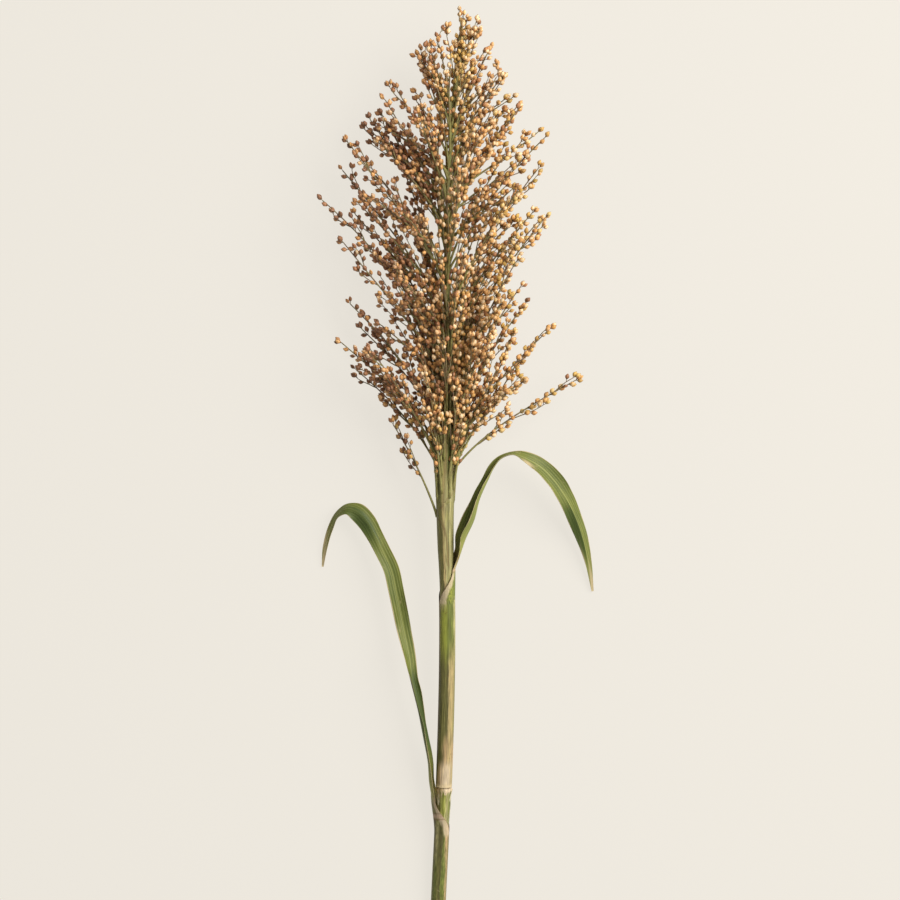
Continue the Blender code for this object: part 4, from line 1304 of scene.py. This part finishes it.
def stem_material(name, zones):
    """Stem skin: its zones' colours in fine streaks, a brown ring at the node, pith at the cut."""
    colors = bpy.context.scene.sorghum_colors
    material, nodes, skin = new_material(name, 0.42, 0.32)
    place = nodes.object_place()
    fibres = nodes.add("ShaderNodeGroup", {"Vector": place}, node_tree=fibre_group())
    base = stem_tones(nodes, zones, place, fibres)
    patches = nodes.range(nodes.noise(nodes.scaled(place, (1, 0.4, 1)), 230.0), 0.52, 0.66)
    patches = nodes.times(patches, nodes.attribute("spots"))
    base = nodes.mix(patches, base, colors.pith_cream)
    base = nodes.lay(base, nodes.attribute("line"), 0.5, colors.husk_brown)
    base = nodes.lay(base, nodes.attribute("scar"), 0.85, colors.husk_brown)
    base = nodes.lay(base, speck_mask(nodes, place, 420.0, 0.35), 0.6, colors.husk_brown)
    dots = speck_mask(nodes, place, 1500.0, 1.0)
    pith = nodes.lay(colors.pith_cream, dots, 0.7, colors.stem_tan)
    base = nodes.mix(nodes.attribute("cut"), base, pith)
    nodes.set(skin["Base Color"], base)
    nodes.set(skin["Roughness"], nodes.range(fibres.outputs["Fine"], 0, 1, 0.36, 0.55))
    nodes.set(skin["Normal"], nodes.bump(fibres.outputs["Fine"], 0.00012, 0.6))
    return material


def leaf_material(name, zones):
    """Leaf skin: green with pale veins and midrib, painted shade on the folded half turned away from the
    key light, a streaked sheath, dry margins and tip.
    """
    colors = bpy.context.scene.sorghum_colors
    material, nodes, skin = new_material(name, 0.5, 0.26)
    sheet = nodes.attribute("sheet", "Vector")
    place, across, under = (nodes.attribute(key) for key in ("place", "across", "under"))
    fibres = nodes.add("ShaderNodeGroup", {
        "Vector": sheet, "Stretch": (1, 0.04, 1), "Fine Scale": 1400.0, "Broad Scale": 480.0,
    }, node_tree=fibre_group())
    fine, broad = fibres.outputs["Fine"], fibres.outputs["Broad"]
    side = nodes.math("ABSOLUTE", across)

    sideways = nodes.add("ShaderNodeSeparateXYZ", {"Vector": sheet}).outputs[0]
    veins = nodes.math("SINE", nodes.times(sideways, math.tau / VEIN_SPACING))
    veins = nodes.times(nodes.range(veins, 0.1, 1.0), nodes.range(fine, 0.0, 1.0, 0.45, 1.1))
    cloud = nodes.range(nodes.noise(nodes.scaled(sheet, (1, 0.35, 1)), 90.0), 0.36, 0.62)
    blade = nodes.lay(colors.leaf_green, cloud, 0.75, colors.leaf_deep)
    blade = nodes.lay(blade, broad, 0.55, colors.leaf_deep)
    blade = nodes.lay(blade, veins, 0.36, colors.leaf_pale)
    blade = nodes.lay(blade, under, 0.4, colors.leaf_pale)
    rib = nodes.range(nodes.math("ABSOLUTE", sideways), 0.0006, 0.0002)
    blade = nodes.lay(blade, rib, 0.55, colors.leaf_pale)
    # Painted shade on the folded half turned away from the key light, and the darker neck of the lower
    # blade
    shade = nodes.range(nodes.attribute("shade"), 0.05, 0.6, 0.0, 0.8)
    blade = nodes.mix(shade, blade, colors.leaf_shade)
    blade = nodes.mix(nodes.range(place, 0.16, 0.0, 0.0, 0.75), blade, colors.leaf_yellow)

    sheath = stem_tones(nodes, zones, nodes.object_place(), fibres)
    margin = nodes.jittered(side, broad, 0.1)
    margin = nodes.times(nodes.range(margin, 0.58, 0.76), nodes.range(place, -1.05, -0.95))
    sheath = nodes.lay(sheath, margin, 0.75, colors.collar_cream)
    base = nodes.mix(nodes.range(place, -0.25, 0.04), sheath, blade)
    base = nodes.lay(base, nodes.attribute("collar"), 0.9, colors.collar_pink)
    edge_line = nodes.times(nodes.range(side, 0.955, 0.99), nodes.range(place, 0.02, -0.1))
    edge_line = nodes.most(edge_line, nodes.attribute("mouth"))
    base = nodes.lay(base, edge_line, 0.75, colors.husk_brown)

    edge = nodes.jittered(side, broad, 0.14)
    dry = nodes.times(nodes.range(edge, 0.93, 1.0), nodes.range(place, -0.2, 0.1))
    tip = nodes.plus(place, nodes.times(broad, 0.14))
    dry = nodes.most(dry, nodes.range(tip, 0.94, 1.08))
    dry = nodes.most(dry, nodes.range(place, -1.97, -1.995))
    patch = nodes.range(nodes.noise(nodes.scaled(sheet, (1, 0.5, 1)), 150.0), 0.64, 0.74)
    dry = nodes.most(dry, nodes.times(patch, 0.4))
    dry = nodes.most(dry, nodes.attribute("withered"))
    base = nodes.lay(base, dry, 0.85, colors.leaf_dry)
    specks = speck_mask(nodes, nodes.scaled(sheet, (1, 0.45, 1)), 520.0, 0.45)
    base = nodes.lay(base, specks, 0.7, colors.husk_brown)
    nodes.set(skin["Base Color"], base)
    nodes.set(skin["Roughness"], nodes.range(fine, 0, 1, 0.42, 0.6))
    height = nodes.plus(nodes.times(veins, 0.6), nodes.times(fine, 0.4))
    nodes.set(skin["Normal"], nodes.bump(height, 0.00016, 0.8))
    return material


def floor_material():
    """Matt cream floor that glows evenly, with the faintest unevenness."""
    colors = bpy.context.scene.sorghum_colors
    material, nodes, skin = new_material("floor_card", 0.9, 0.05)
    tone = nodes.range(nodes.noise(nodes.object_place(), 3.0), 0.3, 0.7)
    pale = tuple(channel * FLOOR_ALBEDO for channel in colors.floor_cream)
    darker = tuple(channel * 0.985 for channel in pale)
    nodes.set(skin["Base Color"], nodes.mix(tone, darker, pale))
    skin["Emission Color"].default_value = (*colors.floor_cream, 1)
    skin["Emission Strength"].default_value = bpy.context.scene.sorghum_stage.floor_glow
    return material


# Operators, one for each piece or group of like pieces

def add_piece(name, points, faces, material, values, node):
    """Makes a piece of the stalk, which rides the only body and stands for a node of the frame."""
    obj = mesh_object(name, points, faces, material, values)
    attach(obj, BODY)
    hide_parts(node)


class SORGHUM_OT_make_culm(bpy.types.Operator):
    """Make the cut stem, with the ring of its node and the pith at its cut end"""

    bl_idname = "sorghum.make_culm"
    bl_label = "Make Culm"

    def execute(self, context):
        y = np.concatenate([
            np.linspace(CUT_END_Y, NODE_Y - 6 * MM, 60),
            np.linspace(NODE_Y - 5.8 * MM, NODE_Y + 2 * MM, 40),
            np.linspace(NODE_Y + 3 * MM, -44 * MM, 130),
            np.linspace(-43.7 * MM, HEAD_BASE_Y - SOLID_GAP, 45),
        ])
        points, quads, fans = stem_arrays(CULM_RADII, y, CULM_CAPS, *CULM_RIDGES)
        rows = np.repeat(np.concatenate([np.full(len(CULM_CAPS), CUT_END_Y), y]), STEM_SIDES)
        rows = np.concatenate([rows, [CUT_END_Y, HEAD_BASE_Y]])
        radius = profile_at(CULM_RADII, rows)
        out = points - stem_at(rows)
        side = out[:, 0] / radius
        turn = np.arctan2(out[:, 2], out[:, 0])
        place = NODE_Y + NODE_RING_RISE + 0.5 * MM * np.sin(2 * turn + 1) + 0.3 * MM * np.sin(5 * turn)
        ring = np.exp(-((rows - place) / NODE_RING_WIDTH)**2) * (0.65 + 0.35 * np.sin(3 * turn + 0.5))
        seam = np.interp(rows, SEAM_LINE[:, 0] * MM, SEAM_LINE[:, 1])
        seam = np.exp(-((side - seam) * radius / SEAM_WIDTH)**2) * (out[:, 2] > 0)
        seam *= (rows > SEAM_LINE[0, 0] * MM) & (rows < SEAM_LINE[-1, 0] * MM)
        below_node = smoothstep(NODE_Y + 0.5 * MM, NODE_Y - 1 * MM, rows)
        cut = np.repeat([1, 0], [len(CULM_CAPS) * STEM_SIDES, len(y) * STEM_SIDES])
        values = {
            "cut": np.concatenate([cut, [1, 0]]),
            "side": side,
            "scar": np.maximum(ring, whorl_scar(rows, side)),
            "line": seam,
            "spots": below_node * smoothstep(-268 * MM, -252 * MM, rows),
        }
        material = stem_material("stem_skin", STEM_ZONES["culm"])
        add_piece("culm_skin", points, [quads, fans], material, values, "culm")
        return {"FINISHED"}


class SORGHUM_OT_make_leaves(bpy.types.Operator):
    """Make the two leaves, each from its sheath round the stem to the tip of its blade"""

    bl_idname = "sorghum.make_leaves"
    bl_label = "Make Leaves"

    def execute(self, context):
        rng = np.random.default_rng(LEAF_SEED)
        for node, leaf in LEAVES.items():
            points, faces, values = leaf_arrays(leaf, rng)
            off_axis = points[:, 0] - stem_at(points[:, 1])[:, 0]
            place = values["place"]
            values["side"] = np.clip(off_axis / (leaf["wraps"] + SOLID_THICKNESS), -1, 1)
            collar, width = leaf["collar"]
            values["collar"] = np.exp(-((place - collar) / width)**2)
            beside = (np.abs(place - collar) - 1.4 * width) / (0.3 * width)
            values["mouth"] = 0.8 * np.exp(-beside**2)
            spot, width = leaf["withered"]
            withered = np.exp(-((place - spot) / width)**2)
            values["withered"] = withered * smoothstep(0.1, 0.6, values["across"])
            # Painted shade: where a blade folds, its half turned away from the key light is darkened, and
            # the lower blade is also darker over its neck
            away, shift = leaf["shaded"]
            turned_away = smoothstep(-0.1, 0.15, values["across"] * away + shift)
            full, none = leaf["dusky"]
            dusk = smoothstep(none, full, place) * (place > -0.3)
            values["shade"] = np.maximum(values.pop("fold") * turned_away, 0.55 * dusk)
            material = leaf_material(f"{node}_skin", STEM_ZONES[node])
            add_piece(f"{node}_sheet", points, faces, material, values, node)
        return {"FINISHED"}


class SORGHUM_OT_make_branches(bpy.types.Operator):
    """Make the rachis, the branches, the fingers and the stalks of the seeds"""

    bl_idname = "sorghum.make_branches"
    bl_label = "Make Branches"

    def execute(self, context):
        sizes = context.scene.sorghum_sizes
        plan = head_plan()
        y = np.concatenate([
            np.linspace(RACHIS_FOOT[0, 0], -18 * MM, 40), np.linspace(-17 * MM, HEAD_TIP_Y, 150)])
        table = np.vstack([RACHIS_FOOT, RACHIS_RADII[1:]])
        points, quads, fans = stem_arrays(table, y, RACHIS_CAPS, *RACHIS_RIDGES)
        rows = np.concatenate([np.repeat(np.concatenate([y[:1], y]), STEM_SIDES), [y[0], y[-1]]])
        side = (points[:, 0] - stem_at(rows)[:, 0]) / profile_at(table, rows)
        ring = 0.2 * np.exp(-((rows - SECOND_SCAR_Y) / SECOND_SCAR_WIDTH)**2)
        values = {"cut": rows * 0, "side": side, "line": rows * 0, "spots": rows * 0,
                  "scar": whorl_scar(rows, side) + ring}
        material = stem_material("rachis_skin", STEM_ZONES["rachis"])
        add_piece("rachis", points, [quads, fans], material, values, "panicle")

        bark = branch_material()
        slimmer = sizes.branch_tip_radius - sizes.branch_radius
        main_radii = sizes.branch_radius + slimmer * np.linspace(0, 1, BRANCH_RINGS)**BRANCH_TAPER
        finger_radii = sizes.branch_tip_radius * np.linspace(*FINGER_TAPER, FINGER_RINGS)
        foot, root = plan["foot"], plan["root"]
        stalks = np.stack([foot, (foot + root) / 2, root + plan["way"] * STALK_SUNK], axis=1)
        for name, lines, radii, sides, age in (
            ("main_branches", plan["mains"], main_radii, BRANCH_SIDES, 0),
            ("fingers", plan["fingers"], finger_radii, FINGER_SIDES, 0.5),
            ("seed_stalks", stalks, STALK_RADII, STALK_SIDES, 0.8),
        ):
            points, quads, fans, share = tubes(lines, radii, sides)
            values = {"age": age + share * (1 - age)}
            add_piece(name, points, [quads, fans], bark, values, "panicle")
        return {"FINISHED"}


class SORGHUM_OT_make_seeds(bpy.types.Operator):
    """Make the seeds and the husks that clasp them, in a lower and an upper piece each"""

    bl_idname = "sorghum.make_seeds"
    bl_label = "Make Seeds"

    def execute(self, context):
        width = context.scene.sorghum_sizes.seed_width
        plan = head_plan()
        skin, husk = seed_material(), husk_material()
        y = plan["root"][:, 1]
        low = y < np.median(y)
        for part, chosen in (("lower", low), ("upper", ~low)):
            for kind, arrays, material in (("seeds", seed_arrays, skin), ("husks", husk_arrays, husk)):
                points, quads, fans, rise = arrays(plan, chosen, width)
                lobes = 2 if kind == "husks" else 1
                count = len(points) // chosen.sum() // lobes
                values = {"rise": rise}
                for key in ("tint", "green"):
                    values[key] = np.tile(np.repeat(plan[key][chosen], count), lobes)
                add_piece(f"{part}_{kind}", points, [quads, fans], material, values, "panicle")
        return {"FINISHED"}


class SORGHUM_OT_set_stage(bpy.types.Operator):
    """Lay the pale floor and set the soft lights and the camera above it"""

    bl_idname = "sorghum.set_stage"
    bl_label = "Set Stage"

    def execute(self, context):
        stage = context.scene.sorghum_stage
        colors = context.scene.sorghum_colors
        size = FLOOR_HALF_SIZE
        corners = np.array([(-size, -size, 0), (size, -size, 0), (size, size, 0), (-size, size, 0)])
        floor = mesh_object("floor", corners, [np.array([[0, 1, 2, 3]])], floor_material())

        world = bpy.data.worlds.new("studio")
        context.scene.world = world
        world.use_nodes = True
        sky = world.node_tree.nodes["Background"].inputs
        sky["Color"].default_value = (*colors.sky, 1)
        sky["Strength"].default_value = stage.sky_strength

        for name, (place, size, color) in LIGHTS.items():
            light = bpy.data.lights.new(name, "AREA")
            light.shape = "SQUARE"
            light.size = size
            light.energy = getattr(stage, f"{name}_power")
            light.color = color
            lamp = bpy.data.objects.new(name, light)
            lamp.location = place
            lamp.rotation_euler = (-Vector(place)).to_track_quat("-Z", "Y").to_euler()
            context.scene.collection.objects.link(lamp)

        view = bpy.data.cameras.new("camera")
        view.lens = stage.lens
        view.clip_end = 30
        camera = bpy.data.objects.new("camera", view)
        height = VIEW_PLANE_Z + VIEW_WIDTH * stage.lens / view.sensor_width
        camera.location = (*VIEW_CENTRE, height)
        context.scene.collection.objects.link(camera)
        context.scene.camera = camera
        context.scene.view_settings.view_transform = "Standard"
        context.scene.view_settings.look = "None"
        return {"FINISHED"}


class SORGHUM_PT_panel(bpy.types.Panel):
    """Lists the steps that build the stalk, and the sizes that can be changed"""

    bl_idname = "SORGHUM_PT_panel"
    bl_label = "Sorghum Seed Head"
    bl_space_type = "VIEW_3D"
    bl_region_type = "UI"
    bl_category = "Sorghum"

    def draw(self, context):
        for operator in OPERATORS:
            self.layout.operator(operator.bl_idname)
        for name in SETTINGS:
            group = getattr(context.scene, name)
            box = self.layout.box()
            for key in group.bl_rna.properties.keys():
                if key not in ("rna_type", "name"):
                    box.prop(group, key)


OPERATORS = (
    SORGHUM_OT_make_culm,
    SORGHUM_OT_make_leaves,
    SORGHUM_OT_make_branches,
    SORGHUM_OT_make_seeds,
    SORGHUM_OT_set_stage,
)
SETTINGS = {
    "sorghum_sizes": SorghumHeadSettings,
    "sorghum_colors": SorghumColorSettings,
    "sorghum_stage": SorghumStageSettings,
}
CLASSES = (*SETTINGS.values(), *OPERATORS, SORGHUM_PT_panel)


def register():
    for cls in CLASSES:
        bpy.utils.register_class(cls)
    for name, settings in SETTINGS.items():
        setattr(bpy.types.Scene, name, bpy.props.PointerProperty(type=settings))


def unregister():
    for name in SETTINGS:
        delattr(bpy.types.Scene, name)
    for cls in reversed(CLASSES):
        bpy.utils.unregister_class(cls)


def main():
    register()
    bpy.ops.sorghum.make_culm()
    bpy.ops.sorghum.make_leaves()
    bpy.ops.sorghum.make_branches()
    bpy.ops.sorghum.make_seeds()
    bpy.ops.sorghum.set_stage()


if __name__ == "__main__":
    main()
